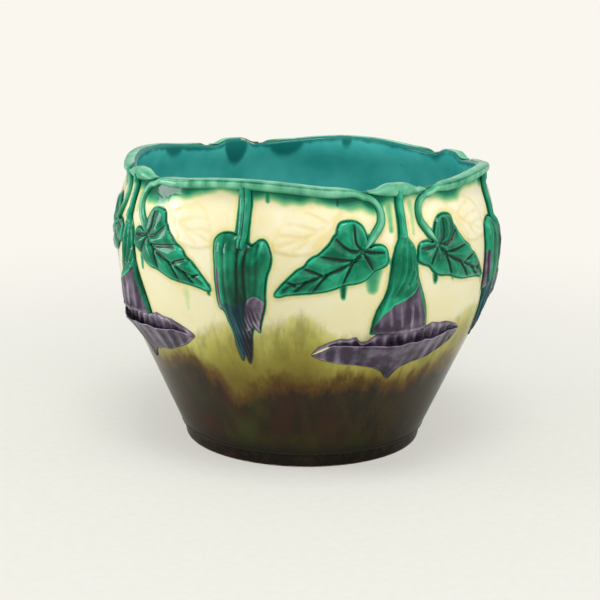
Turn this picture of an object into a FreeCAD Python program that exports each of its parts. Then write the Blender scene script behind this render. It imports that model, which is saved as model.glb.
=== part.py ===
import FreeCAD, Part
import math
import os
import Sketcher
from FreeCAD import Placement, Rotation, Vector

# A glazed earthenware jardiniere. The pot and its foot are turned. The ornament is pressed in moulds
# and luted to the wall: a vine along the rim, leaves, trumpet blossoms and buds, four times round.
# The origin is the centre of the foot on the ground, +Z is up, and one blossom faces -Y.

os.makedirs("parts", exist_ok=True)
document = FreeCAD.newDocument("jardiniere")

sizes = document.addObject("Spreadsheet::Sheet", "sizes")
driving_sizes = [
    # the pot
    ("rim_height", 213, "ground to the top of the vine over a bud"),
    ("belly_diameter", 281.6, "widest part of the wall"),
    ("belly_height", 155, "height of the widest part"),
    ("lower_curve", 170, "radius of the wall's curve below the belly"),
    ("shoulder_curve", 108, "radius of the wall's curve above the belly"),
    ("neck_curve", 40, "radius of the hollow curve under the rim"),
    ("neck_drop", 20, "rim to the start of the neck"),
    ("blank_spare", 4, "turned height over the rim, cut away by the wave"),
    ("wall_thickness", 7, "wall and floor"),
    ("floor_corner", 9, "slope that fills the inside corner of wall and floor"),
    # the foot
    ("foot_diameter", 179, "outside of the foot on the ground"),
    ("foot_height", 9, "ground to the underside of the pot"),
    ("foot_width", 13, "width of the ring that stands on the ground"),
    ("foot_step", 2.2, "how far the pot stands out over its foot"),
    # the wave of the rim
    ("rim_fall", 7.2, "fall of the rim from bud to blossom"),
    ("arch_rise", 5.2, "rise of the rim over a blossom"),
    ("arch_angle", 6, "half of the rise, in degrees round the pot"),
    ("lip_step", 1, "how far the pot's own lip stays below the vine"),
    # the vine along the rim, and the petioles at its ends
    ("vine_width", 7.2, "height of the roll along the rim"),
    ("vine_relief", 3.4, "how far it stands out"),
    ("petiole_width", 4.8, "width of the hooked petiole"),
    ("petiole_relief", 2.6, "how far it stands out"),
    ("hook_radius", 12.5, "radius of the petiole's hook"),
    ("hook_offset", 15, "nearest that a hook comes to the blossom's axis"),
    ("hook_drop", 23, "rim to the middle of the hook"),
    ("petiole_angle", 22, "angle at which the petiole meets the midrib, in degrees"),
    # the leaves
    ("leaf_length", 66.7, "petiole to tip"),
    ("leaf_width", 41, "across the two lobes"),
    ("leaf_relief", 2.6, "how far a leaf stands out"),
    ("leaf_offset", 29.8, "blossom's axis to the leaf's midrib base"),
    ("leaf_drop", 45, "rim to the leaf's midrib base"),
    ("leaf_tilt", 26.7, "slope of the midrib, in degrees"),
    # the blossom
    ("arch_width", 43, "span of the cap over a blossom"),
    ("arch_relief", 3.6, "how far the cap stands out"),
    ("arch_depth", 9.2, "height of the cap at its middle"),
    ("arch_end_drop", 1, "rim to the cap's lower edge at its ends"),
    ("stem_width", 5.6, "blossom stem"),
    ("stem_relief", 2.8, "how far the blossom stem stands out"),
    ("tube_drop", 37, "rim to the top of the trumpet"),
    ("tube_length", 65, "length of the trumpet"),
    ("tube_mouth", 46.8, "width of the trumpet at its mouth"),
    ("tube_relief", 7.5, "how far the trumpet's mouth stands out"),
    ("mouth_span", 128, "tip to tip of the ruffled mouth"),
    ("mouth_shift", 2.2, "middle of the ruffled mouth to the right of the blossom's axis"),
    ("mouth_fall", 36.9, "height of the ruffled mouth over its lower tip"),
    ("mouth_relief", 8, "how far the ruffled mouth stands out under the trumpet"),
    ("mouth_thin", 1.4, "thickness at its two tips"),
    ("mouth_edge", 1.8, "thickness of its rolled edge"),
    ("mouth_hollow", 3.4, "depth of the trough behind the rolled edge"),
    # the bud
    ("bud_stem_width", 12, "double rib of a bud stem with its side strips, at the rim"),
    ("bud_stem_relief", 3, "how far the bud stem stands out"),
    ("bud_drop", 35.5, "rim to the top of the bud"),
    ("bud_length", 91, "top of the bud to its tip"),
    ("bud_width", 40, "across the bud's shoulders"),
    ("bud_relief", 7.5, "how far the bud stands out"),
    ("slip", 0.5, "film of slip between an ornament and the wall"),
    ("seam", 0.3, "gap where one ornament ends against the next"),
]
for row, (alias, number, note) in enumerate(driving_sizes, start=1):
    sizes.set("A%d" % row, note)
    sizes.set("B%d" % row, str(number))
    sizes.setAlias("B%d" % row, alias)
document.recompute()

motif_count = 4
quarter_turn = 360.0 / motif_count

# flat bands that stand for each curve of the wall
lower_bands, shoulder_bands, neck_bands = 2, 2, 1


def size(alias):
    return float(sizes.get(alias))


# ---- the wall's profile: a cone, two curves that meet at the belly, and a hollow neck ----

belly_radius = size("belly_diameter") / 2
joint_radius = size("foot_diameter") / 2 + size("foot_step")
neck_height = size("rim_height") - size("neck_drop")
blank_top = size("rim_height") + size("blank_spare")
floor_height = size("foot_height") + size("wall_thickness")

lower_centre = Vector(belly_radius - size("lower_curve"), size("belly_height"), 0)
shoulder_centre = Vector(belly_radius - size("shoulder_curve"), size("belly_height"), 0)
neck_turn = math.asin((neck_height - size("belly_height")) / size("shoulder_curve"))
neck_reach = size("shoulder_curve") + size("neck_curve")
neck_centre = shoulder_centre + Vector(math.cos(neck_turn), math.sin(neck_turn), 0) * neck_reach


def tangent_turn(outside, centre, radius, side):
    """Direction from a circle's centre to where a line from an outside point touches it."""
    away = outside - centre
    return math.atan2(away.y, away.x) + side * math.acos(radius / away.Length)


def round_point(centre, radius, turn):
    return centre + Vector(math.cos(turn), math.sin(turn), 0) * radius


def round_points(centre, radius, first, last, bands):
    """Points that divide an arc into equal bands, without the first one."""
    turns = [first + (last - first) * step / bands for step in range(1, bands + 1)]
    return [round_point(centre, radius, turn) for turn in turns]


def wall_outline():
    """The turned wall from its joint with the foot to the mouth: radius and height of each band."""
    joint = Vector(joint_radius, size("foot_height"), 0)
    cone_turn = tangent_turn(joint, lower_centre, size("lower_curve"), 1)
    mouth_turn = math.pi - math.asin((blank_top - neck_centre.y) / size("neck_curve"))
    outline = [joint, round_point(lower_centre, size("lower_curve"), cone_turn)]
    outline += round_points(lower_centre, size("lower_curve"), cone_turn, 0, lower_bands)
    outline += round_points(shoulder_centre, size("shoulder_curve"), 0, neck_turn, shoulder_bands)
    neck_start = neck_turn + math.pi
    outline += round_points(neck_centre, size("neck_curve"), neck_start, mouth_turn, neck_bands)
    return outline


wall_line = wall_outline()
belly = lower_bands + 1  # place of the widest point in the wall's line


def wall_radius(height):
    """Outer radius of the pot's wall at a height."""
    for low, high in zip(wall_line, wall_line[1:]):
        if height <= high.y or high is wall_line[-1]:
            return low.x + (high.x - low.x) * (height - low.y) / (high.y - low.y)


def rim_top(angle):
    """Height of the vine's top edge, angle in degrees from a blossom's axis."""
    nearest = (angle + quarter_turn / 2) % quarter_turn - quarter_turn / 2
    wave = (1 + math.cos(math.radians(motif_count * nearest))) / 2
    arch = math.exp(-((nearest / size("arch_angle")) ** 4))
    return size("rim_height") - size("rim_fall") * wave + size("arch_rise") * arch


# ---- helpers for bodies and sketches ----

def new_body(name):
    return document.addObject("PartDesign::Body", name)


def origin_plane(body, role):
    return [f for f in body.Origin.OriginFeatures if f.Role == role][0]


def new_sketch(body, name, role="XZ_Plane"):
    sketch = body.newObject("Sketcher::SketchObject", name)
    sketch.AttachmentSupport = [(origin_plane(body, role), "")]
    sketch.MapMode = "FlatFace"
    return sketch


def fix(sketch, kind, where, expression):
    """Add a dimension to a sketch and bind it to the sheet."""
    value = 1.0
    index = sketch.addConstraint(Sketcher.Constraint(kind, *where, value))
    sketch.setExpression("Constraints[%d]" % index, expression)


def revolve(body, sketch, kind, name):
    feature = body.newObject(kind, name)
    feature.Profile = sketch
    feature.ReferenceAxis = (sketch, ["V_Axis"])
    feature.Angle = 360
    document.recompute()
    return feature


def profile_sketch(body, name, corners):
    """Closed outline through corners, which starts and ends on the axis."""
    sketch = new_sketch(body, name)
    count = len(corners)
    for number, corner in enumerate(corners):
        sketch.addGeometry(Part.LineSegment(corner, corners[(number + 1) % count]), False)
    for side in range(count):
        sketch.addConstraint(Sketcher.Constraint("Coincident", side, 2, (side + 1) % count, 1))
    return sketch


# ---- the solid blank of the pot ----

def make_wall_core():
    body = new_body("wall_core")
    axis_low = Vector(0, wall_line[0].y, 0)
    axis_high = Vector(0, wall_line[-1].y, 0)
    sketch = profile_sketch(body, "wall_profile", [axis_low] + wall_line + [axis_high])
    fix(sketch, "DistanceX", (-1, 1, 0, 2), "sizes.foot_diameter / 2 + sizes.foot_step")
    fix(sketch, "DistanceY", (-1, 1, 0, 2), "sizes.foot_height")
    fix(sketch, "DistanceX", (-1, 1, belly, 2), "sizes.belly_diameter / 2")
    fix(sketch, "DistanceY", (-1, 1, belly, 2), "sizes.belly_height")
    revolve(body, sketch, "PartDesign::Revolution", "wall_turning")
    return body


wall_core = make_wall_core()


# ---- the pot: the blank hollowed, and its mouth cut to the wave of the rim ----

def make_pot_shell():
    body = new_body("pot_shell")
    blank = body.newObject("PartDesign::FeatureBase", "pot_blank")
    blank.BaseFeature = wall_core
    body.Tip = blank
    document.recompute()
    thickness = size("wall_thickness")
    followed = wall_line[2:belly + 1] + wall_line[-2:]
    inside = [Vector(spot.x - thickness, spot.y, 0) for spot in followed]
    slope = (wall_line[1].x - wall_line[0].x) / (wall_line[1].y - wall_line[0].y)
    corner_height = floor_height + size("floor_corner")
    corner_radius = wall_radius(corner_height) - thickness
    floor_radius = corner_radius - size("floor_corner") * (1 + slope)
    inside = [Vector(floor_radius, floor_height, 0), Vector(corner_radius, corner_height, 0)] + inside
    axis_low = Vector(0, floor_height, 0)
    axis_high = Vector(0, blank_top, 0)
    sketch = profile_sketch(body, "hollow_profile", [axis_low] + inside + [axis_high])
    fix(sketch, "DistanceY", (-1, 1, 0, 2), "sizes.foot_height + sizes.wall_thickness")
    revolve(body, sketch, "PartDesign::Groove", "pot_hollow")
    return body


def wavy_ring(radius):
    """Closed curve that follows the top of the pot's own lip at a radius."""
    step = 5
    points = []
    for angle in range(0, 360, step):
        turn = math.radians(angle)
        height = rim_top(angle) - size("lip_step")
        points.append(Vector(radius * math.sin(turn), -radius * math.cos(turn), height))
    curve = Part.BSplineCurve()
    curve.interpolate(points, PeriodicFlag=True)
    return curve.toShape()


def make_mouth_cutter():
    spare = 3 * size("wall_thickness")
    inner = wavy_ring(wall_radius(neck_height) - spare)
    outer = wavy_ring(wall_radius(neck_height) + spare)
    cutter = document.addObject("Part::Feature", "mouth_cutter")
    wave = Part.makeRuledSurface(inner, outer)
    cutter.Shape = wave.extrude(Vector(0, 0, size("rim_fall") + spare))
    return cutter


pot_body = document.addObject("Part::Cut", "pot_body")
pot_body.Base = make_pot_shell()
pot_body.Tool = make_mouth_cutter()
document.recompute()


# ---- the foot ring ----

def make_foot_ring():
    body = new_body("foot_ring")
    outer = size("foot_diameter") / 2
    inner = outer - size("foot_width")
    high = size("foot_height")
    corners = [
        Vector(inner, 0, 0),
        Vector(outer, 0, 0),
        Vector(outer + size("foot_step") / 2, high, 0),
        Vector(inner, high, 0),
    ]
    sketch = profile_sketch(body, "foot_profile", corners)
    ground, outside, seat, inside = range(4)
    sketch.addConstraint(Sketcher.Constraint("PointOnObject", ground, 1, -1))
    sketch.addConstraint(Sketcher.Constraint("Horizontal", ground))
    sketch.addConstraint(Sketcher.Constraint("Horizontal", seat))
    sketch.addConstraint(Sketcher.Constraint("Vertical", inside))
    fix(sketch, "DistanceX", (-1, 1, ground, 1), "sizes.foot_diameter / 2 - sizes.foot_width")
    fix(sketch, "DistanceX", (-1, 1, outside, 1), "sizes.foot_diameter / 2")
    fix(sketch, "DistanceX", (-1, 1, outside, 2), "sizes.foot_diameter / 2 + sizes.foot_step / 2")
    fix(sketch, "DistanceY", (-1, 1, outside, 2), "sizes.foot_height")
    revolve(body, sketch, "PartDesign::Revolution", "foot_turning")
    return body


foot_ring = make_foot_ring()


# ---- the ornament: mouldings laid on the wall over a film of slip ----
# A spot on the wall has an arc distance from the blossom's axis, a height, and a stand-off.
# Each moulding is ruled from section to section. A section holds its front spots in order across it
# and as many back spots, or is a single spot where the moulding runs out to a tip.

def on_wall(across, height, stand):
    angle = across / belly_radius
    radius = wall_radius(height) + stand
    return Vector(radius * math.sin(angle), -radius * math.cos(angle), height)


def degrees_round(across):
    return math.degrees(across / belly_radius)


def seat(front):
    """Back spots straight behind the front ones, clear of the wall by the film of slip."""
    return [(across, height, size("slip")) for across, height, _ in front]


def section(front, back=None):
    back = back or seat(front)
    return [on_wall(*spot) for spot in front + back[::-1]]


def tip(across, height):
    return [on_wall(across, height, 2 * size("slip"))]


def ruled_faces(first, second):
    """Flat faces between two sections."""
    count = max(len(first), len(second))
    faces = []
    for number in range(count):
        following = (number + 1) % count
        corners = [first[number % len(first)], second[number % len(second)]]
        corners += [second[following % len(second)], first[following % len(first)]]
        for triangle in (corners[:3], [corners[0], corners[2], corners[3]]):
            area = (triangle[1] - triangle[0]).cross(triangle[2] - triangle[0]).Length
            if area > 1e-6:
                faces.append(Part.Face(Part.makePolygon(triangle + triangle[:1])))
    return faces


def end_faces(ring):
    """Flat faces that close a section, between its front and its back."""
    half = len(ring) // 2
    faces = []
    for number in range(half - 1):
        front = ring[number:number + 2]
        back = [ring[-1 - number], ring[-2 - number]]
        for triangle in ([front[0], front[1], back[1]], [front[0], back[1], back[0]]):
            faces.append(Part.Face(Part.makePolygon(triangle + triangle[:1])))
    return faces


def stand_off(share, relief):
    """Stand-off at a share of a relief, which is never below the film of slip."""
    return size("slip") + share * (relief - size("slip"))


near_joint = 0.045  # rows nearer than this to a joint of the wall's bands are moved to it


def rows_on_joints(rows, top, length):
    """Rows of a moulding that runs down the wall, with one on each joint of the wall's bands."""
    first, last = rows[0], rows[-1]
    falls = [(top - spot.y) / length for spot in wall_line]
    joints = [fall for fall in falls if first[0] < fall < last[0]]
    kept = [row for row in rows[1:-1] if min(abs(row[0] - joint) for joint in joints) > near_joint]
    for joint in joints:
        before = max(row for row in rows if row[0] < joint)
        after = min(row for row in rows if row[0] > joint)
        share = (joint - before[0]) / (after[0] - before[0])
        kept.append(tuple(low + (high - low) * share for low, high in zip(before, after)))
    return [first] + sorted(kept) + [last]


def moulding(name, sections):
    faces = []
    for first, second in zip(sections, sections[1:]):
        faces += ruled_faces(first, second)
    for ring in (sections[0], sections[-1]):
        if len(ring) > 1:
            faces += end_faces(ring)
    shell = Part.makeShell(faces)
    shell.sewShape()
    solid = Part.makeSolid(shell)
    if solid.Volume < 0:
        solid.reverse()
    mould = document.addObject("Part::Feature", name + "_mould")
    mould.Shape = solid
    return mould


def rib(profile, line):
    """Sections of a rib along a line of (across, height, half width, relief)."""
    sections = []
    for number, (across, height, half, relief) in enumerate(line):
        before = line[max(number - 1, 0)]
        after = line[min(number + 1, len(line) - 1)]
        run = Vector(after[0] - before[0], after[1] - before[1], 0).normalize()
        front = []
        for side, stand in profile:
            front.append((across - run.y * side * half, height + run.x * side * half, stand * relief))
        sections.append(section(front))
    return sections


# sections of the ribs: share of the half width, share of the relief
round_profile = [(-1, 0.25), (-0.55, 1), (0.55, 1), (1, 0.25)]
twin_profile = [(-1, 0.25), (-0.6, 0.3), (-0.4, 1), (0, 0.7), (0.4, 1), (0.6, 0.3), (1, 0.25)]


# ---- the leaves ----
# Rows run from the midrib to the upper and the lower edge. The first ones fan out round the base.
# Each row is (base on the midrib, upper edge along and across, lower edge along and across), in
# shares of the leaf's length and width.

leaf_edge_stand, leaf_midrib_stand = 0.35, 0.5  # shares of the relief
leaf_rows = [
    (0, -0.085, 0.12, -0.20, -0.02),
    (0, -0.117, 0.24, -0.24, -0.10),
    (0, -0.105, 0.38, -0.225, -0.24),
    (0, -0.05, 0.50, -0.17, -0.37),
    (0, 0.03, 0.58, -0.09, -0.39),
    (0.03, 0.11, 0.56, 0.02, -0.38),
    (0.10, 0.19, 0.44, 0.12, -0.42),
    (0.20, 0.30, 0.36, 0.25, -0.40),
    (0.33, 0.45, 0.31, 0.40, -0.35),
    (0.47, 0.60, 0.25, 0.56, -0.28),
    (0.63, 0.76, 0.19, 0.73, -0.17),
    (0.80, 0.90, 0.11, 0.88, -0.06),
]


def leaf_spot(along, aside, stand=0):
    """Spot on the right leaf, from the base of its midrib."""
    tilt = math.radians(size("leaf_tilt"))
    out = size("leaf_offset") + along * math.cos(tilt) + aside * math.sin(tilt)
    height = size("rim_height") - size("leaf_drop") - along * math.sin(tilt) + aside * math.cos(tilt)
    return out, height, stand


def make_leaf():
    relief = size("leaf_relief")
    sections = []
    for base, upper_along, upper_aside, lower_along, lower_aside in leaf_rows:
        front = []
        for share, stand in [(1, leaf_edge_stand), (0.5, 1)]:
            along = (base + (upper_along - base) * share) * size("leaf_length")
            front.append(leaf_spot(along, upper_aside * share * size("leaf_width"), stand * relief))
        front.append(leaf_spot(base * size("leaf_length"), 0, leaf_midrib_stand * relief))
        for share, stand in [(0.5, 1), (1, leaf_edge_stand)]:
            along = (base + (lower_along - base) * share) * size("leaf_length")
            front.append(leaf_spot(along, lower_aside * share * size("leaf_width"), stand * relief))
        sections.append(section(front))
    sections.append(tip(*leaf_spot(size("leaf_length"), 0)[:2]))
    return moulding("leaf_right", sections)


# ---- a vine along the rim over a bud, with a hooked petiole at each end ----

bud_axis = math.pi * belly_radius / motif_count
hook_steps, roll_steps, swell_steps = 4, 5, 3


def vine_line():
    """Centre line of the right-hand half of a vine, from its leaf to the bud's axis."""
    middle_out = size("hook_offset") + size("hook_radius")
    hook_middle = Vector(middle_out, size("rim_height") - size("hook_drop"), 0)
    petiole = size("petiole_width") / 2
    relief = size("petiole_relief")
    back = 1.5 * size("petiole_width")
    end = leaf_spot(-back, back * math.tan(math.radians(size("petiole_angle"))))
    end = Vector(end[0], end[1], 0)
    turn_low = tangent_turn(end, hook_middle, size("hook_radius"), -1) % (2 * math.pi)
    line = [(end.x, end.y, petiole, relief)]
    for spot in [round_point(hook_middle, size("hook_radius"), turn_low)] + round_points(
            hook_middle, size("hook_radius"), turn_low, math.pi / 2, hook_steps):
        line.append((spot.x, spot.y, petiole, relief))
    roll = size("vine_width") / 2
    start = middle_out + size("hook_radius") / 2
    for step in range(roll_steps + 1):
        across = start + (bud_axis - start) * step / roll_steps
        half = petiole + (roll - petiole) * min(1, (step + 1) / swell_steps)
        line.append((across, rim_top(degrees_round(across)) - half, half, size("vine_relief")))
    return line


def make_vine():
    right = vine_line()
    left = [(2 * bud_axis - across, *rest) for across, *rest in reversed(right[:-1])]
    out, height, _ = leaf_spot(-size("petiole_width") / 4, 0)
    sections = rib(round_profile, right + left)
    return moulding("rim_vine", [tip(out, height)] + sections + [tip(2 * bud_axis - out, height)])


# ---- the blossom: cap under the rim, stem, trumpet and ruffled mouth ----

arch_bow = 0.7  # how much of the way up the cap's lower edge has come at its ends
arch_taper = 0.4  # share of its relief that the cap loses towards its ends
arch_shares = [-0.86, -0.6, -0.3, 0, 0.3, 0.6, 0.86]
arch_profile = [(0, 0.25), (0.3, 1), (0.7, 1), (1, 0.3)]  # share of the height, share of the relief


def arch_low(across):
    """Lower edge of the cap, which curves up towards its ends."""
    half = size("arch_width") / 2
    middle = rim_top(0) - size("arch_depth")
    end = rim_top(degrees_round(half)) - size("arch_end_drop")
    return middle + (end - middle) * arch_bow * (across / half) ** 2


def make_arch():
    sections = []
    for share in arch_shares:
        across = share * size("arch_width") / 2
        low = arch_low(across)
        high = rim_top(degrees_round(across))
        relief = size("arch_relief") * (1 - arch_taper * share ** 2)
        front = []
        for rise, stand in arch_profile:
            front.append((across, low + (high - low) * rise, stand * relief))
        sections.append(section(front))
    half = size("arch_width") / 2
    end_height = (arch_low(half) + rim_top(degrees_round(half))) / 2
    return moulding("blossom_arch", [tip(-half, end_height)] + sections + [tip(half, end_height)])


tube_top = size("rim_height") - size("tube_drop")
tube_bottom = tube_top - size("tube_length")


def make_stem():
    high = arch_low(0) - size("seam")
    low = tube_top + size("seam")
    steps = 3
    line = []
    for step in range(steps + 1):
        line.append((0, high + (low - high) * step / steps, size("stem_width") / 2, size("stem_relief")))
    return moulding("blossom_stem", rib(round_profile, line))


# shares of the trumpet's length, of its width at the mouth and of its relief
tube_rows = [
    (0, 0.18, 0.34),
    (0.12, 0.36, 0.50),
    (0.28, 0.45, 0.60),
    (0.48, 0.52, 0.66),
    (0.68, 0.77, 0.80),
    (0.85, 0.91, 0.90),
    (1, 1, 1),
]
# across the trumpet: share of the half width, share of the relief
tube_profile = [
    (-1, 0.12),
    (-0.86, 0.5),
    (-0.5, 0.88),
    (-0.2, 0.8),
    (0.1, 1),
    (0.5, 0.86),
    (0.86, 0.5),
    (1, 0.12),
]


def make_tube():
    sections = []
    for fall, width, relief in rows_on_joints(tube_rows, tube_top, size("tube_length")):
        height = tube_top - fall * size("tube_length")
        front = []
        for side, stand in tube_profile:
            across = side * width * size("tube_mouth") / 2
            front.append((across, height, stand_off(stand * relief, size("tube_relief"))))
        sections.append(section(front))
    return moulding("blossom_tube", sections)


# the ruffled mouth, left to right: share of the half span, then the heights of its lower edge, its
# rolled front edge and its back edge in shares of its height, and how full its relief is
mouth_rows = [
    (-0.86, 0.46, 0.70, 0.84, 0.08),
    (-0.72, 0.42, 0.74, 0.91, 0.14),
    (-0.53, 0.39, 0.76, 0.97, 0.32),
    (-0.34, 0.32, 0.76, 1, 0.68),
    (-0.17, 0.21, 0.77, 1, 1),
    (-0.02, 0.01, 0.86, 1, 1),
    (0.12, 0.21, 0.80, 1, 1),
    (0.28, 0.31, 0.84, 1, 0.8),
    (0.45, 0.36, 0.82, 1.02, 0.5),
    (0.64, 0.48, 0.80, 1.02, 0.25),
    (0.81, 0.64, 0.82, 0.95, 0.12),
]
mouth_tips = [(-1, 0.6), (1, 0.8)]
edge_stand = 0.65  # stand-off of the lower and the back edge, as a share of the thickness at the tips
face_stand = 0.62  # stand-off of the flared face, as a share of the rolled edge's


def mouth_section(across, under, edge, back, fullness):
    """Front spots on the lower edge, flared face, rolled edge, trough and back edge, over the seat."""
    thin = size("mouth_thin")
    roll = fullness * size("mouth_edge")
    out = thin + fullness * (size("mouth_relief") - thin)
    front = [
        (across, under, edge_stand * thin),
        (across, (under + edge) / 2, face_stand * out),
        (across, edge, out),
        (across, edge + size("seam"), out - roll / 2),
        (across, edge - fullness * size("mouth_hollow"), thin),
        (across, back, edge_stand * thin),
    ]
    steps = len(front) - 1
    rear = [(across, under + (back - under) * step / steps, size("slip")) for step in range(steps + 1)]
    return section(front, rear)


def make_mouth():
    high = tube_bottom - 2 * size("seam")
    fall = size("mouth_fall")
    low = high - fall
    half = size("mouth_span") / 2
    shift = size("mouth_shift")
    sections = []
    for share, lower, front_edge, back_edge, fullness in mouth_rows:
        under, edge, back = [low + level * fall for level in (lower, front_edge, back_edge)]
        sections.append(mouth_section(shift + share * half, under, edge, back, fullness))
    tips = [tip(shift + share * half, low + level * fall) for share, level in mouth_tips]
    return moulding("blossom_lip", [tips[0]] + sections + [tips[1]])


# ---- the bud over its double-ribbed stem ----

bud_top = size("rim_height") - size("bud_drop")
bud_stem_taper = 0.25  # share of its width that the stem loses on the way down


def make_bud_stem():
    high = size("rim_height") - size("vine_width") - size("seam")
    low = bud_top + size("seam")
    steps = 3
    line = []
    for step in range(steps + 1):
        half = size("bud_stem_width") / 2 * (1 - bud_stem_taper * step / steps)
        line.append((0, high + (low - high) * step / steps, half, size("bud_stem_relief")))
    return moulding("bud_stem", rib(twin_profile, line))


# shares of the bud's length, of its width to the left and right, and of its relief
bud_rows = [
    (0, -0.33, 0.32, 0.5),
    (0.085, -0.50, 0.47, 0.85),
    (0.21, -0.48, 0.50, 1),
    (0.33, -0.465, 0.44, 1),
    (0.45, -0.44, 0.41, 0.95),
    (0.575, -0.34, 0.37, 0.8),
    (0.75, -0.19, 0.175, 0.55),
    (0.87, -0.16, 0.14, 0.42),
    (0.965, -0.105, 0.09, 0.3),
]
bud_profile = [(0, 0.12), (0.13, 0.55), (0.36, 0.95), (0.47, 0.7), (0.6, 1), (0.87, 0.55), (1, 0.12)]
bud_tip = -0.02  # tip's place across, in the bud's width


def make_bud():
    sections = []
    for fall, left, right, relief in rows_on_joints(bud_rows, bud_top, size("bud_length")):
        height = bud_top - fall * size("bud_length")
        front = []
        for share, stand in bud_profile:
            across = (left + (right - left) * share) * size("bud_width")
            front.append((across, height, stand_off(stand * relief, size("bud_relief"))))
        sections.append(section(front))
    sections.append(tip(bud_tip * size("bud_width"), bud_top - size("bud_length")))
    return moulding("bud", sections)


# ---- every ornament four times round the pot ----

def repeat(name, mould, turn=0):
    """Place copies of a moulding round the pot, the first one turned from the front blossom."""
    for number in range(motif_count):
        body = new_body("%s_%d" % (name, number + 1))
        copy = body.newObject("PartDesign::FeatureBase", "%s_copy_%d" % (name, number + 1))
        copy.BaseFeature = mould
        body.Tip = copy
        angle = turn + quarter_turn * number
        body.Placement = Placement(Vector(0, 0, 0), Rotation(Vector(0, 0, 1), angle))
        nodes.append(body)


nodes = [pot_body, foot_ring]
leaf_right = make_leaf()
leaf_left = document.addObject("Part::Mirroring", "leaf_left_mould")
leaf_left.Source = leaf_right
leaf_left.Normal = Vector(1, 0, 0)
repeat("rim_vine", make_vine())
repeat("blossom_arch", make_arch())
repeat("blossom_stem", make_stem())
repeat("blossom_tube", make_tube())
repeat("blossom_lip", make_mouth())
repeat("leaf_left", leaf_left)
repeat("leaf_right", leaf_right)
repeat("bud_stem", make_bud_stem(), quarter_turn / 2)
repeat("bud", make_bud(), quarter_turn / 2)
document.recompute()

# ---- test every piece, then write each one ----

for thing in document.Objects:
    if {"Invalid", "Error"} & set(thing.State):
        raise RuntimeError("%s failed: %s" % (thing.Name, thing.State))
for node in nodes:
    if node.Shape.isNull() or not node.Shape.isValid() or len(node.Shape.Solids) != 1:
        raise RuntimeError("%s has no sound solid" % node.Label)
for node in nodes:
    node.Shape.exportStep("parts/%s.step" % node.Label)
    print("%-16s %9.0f mm3" % (node.Label, node.Shape.Volume))
print("%d pieces" % len(nodes))
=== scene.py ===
import math
import bpy
import numpy as np
from mathutils import Matrix


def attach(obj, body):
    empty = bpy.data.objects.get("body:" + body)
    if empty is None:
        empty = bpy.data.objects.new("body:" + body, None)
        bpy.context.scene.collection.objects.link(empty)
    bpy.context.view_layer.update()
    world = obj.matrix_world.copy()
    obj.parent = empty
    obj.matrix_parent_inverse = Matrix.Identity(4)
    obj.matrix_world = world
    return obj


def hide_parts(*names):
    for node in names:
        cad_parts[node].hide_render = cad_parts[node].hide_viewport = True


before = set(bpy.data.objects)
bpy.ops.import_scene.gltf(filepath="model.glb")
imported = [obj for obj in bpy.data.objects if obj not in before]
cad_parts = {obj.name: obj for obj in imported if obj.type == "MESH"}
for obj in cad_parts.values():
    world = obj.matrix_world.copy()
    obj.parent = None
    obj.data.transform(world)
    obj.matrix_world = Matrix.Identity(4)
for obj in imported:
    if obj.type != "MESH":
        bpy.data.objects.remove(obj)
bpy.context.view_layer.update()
print("frame loaded:", len(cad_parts), "nodes")

# Lengths below are millimetres. A spot on the wall is its arc from a blossom's axis, its height, and how far
# it stands out from the wall. Blossom one faces -Y, and the arc grows to the right.
mm = 0.001
cameraTurn = 27.5  # degrees from the camera round to blossom one
cameraDip = 13.7  # degrees that the camera looks down
wall = {
    "bellyRadius": 140.8, "bellyHeight": 155.0,
    "lowerCurve": 170.0, "shoulderCurve": 108.0, "neckCurve": 40.0,  # radii of the profile's curves
    "neckStart": 193.0, "rimHeight": 213.0,
    "jointRadius": 91.7, "jointHeight": 9.0,  # where the pot meets its foot
    "thickness": 7.0,
    "rimFall": 7.2, "archRise": 5.2, "archAngle": 6.0,  # the wave of the rim
    "lipStep": 1.0,  # the pot's own lip stays this far below the vine
}
motifs = 4
quarterArc = math.tau * wall["bellyRadius"] / motifs
budAxis = quarterArc / 2
farOff = 1e9  # a distance to start from when the nearest one is looked for


def unit(value):
    return np.clip(value, 0, 1)


def smoothStep(low, high, value):
    share = unit((value - low) / (high - low))
    return share * share * (3 - 2 * share)


def between(low, high, share):
    return low + (high - low) * share


def bell(value, at, width):
    return np.exp(-((value - at) / width) ** 2)


def splineSpot(before, first, second, after, share):
    # Catmull-Rom: a curve from the first to the second, led by their neighbours
    bend = (2 * before - 5 * first + 4 * second - after) * share ** 2
    bend = bend + (3 * first - before - 3 * second + after) * share ** 3
    return first + ((second - before) * share + bend) / 2


def arcReach(radius, rise):
    # how far a circle reaches out at a height above or below its centre
    return np.sqrt(np.maximum(radius ** 2 - rise ** 2, 0))


def tangentCone():
    # the straight part from the foot up to where it meets the lower curve
    centre = np.array([wall["bellyRadius"] - wall["lowerCurve"], wall["bellyHeight"]])
    away = np.array([wall["jointRadius"], wall["jointHeight"]]) - centre
    turn = math.atan2(away[1], away[0]) + math.acos(wall["lowerCurve"] / np.hypot(*away))
    top = centre + wall["lowerCurve"] * np.array([math.cos(turn), math.sin(turn)])
    return top[1], (top[0] - wall["jointRadius"]) / (top[1] - wall["jointHeight"])


coneTop, coneSlope = tangentCone()
neckTurn = math.asin((wall["neckStart"] - wall["bellyHeight"]) / wall["shoulderCurve"])
neckReach = wall["shoulderCurve"] + wall["neckCurve"]
neckRadius = wall["bellyRadius"] - wall["shoulderCurve"] + neckReach * math.cos(neckTurn)
neckHeight = wall["bellyHeight"] + neckReach * math.sin(neckTurn)


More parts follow.
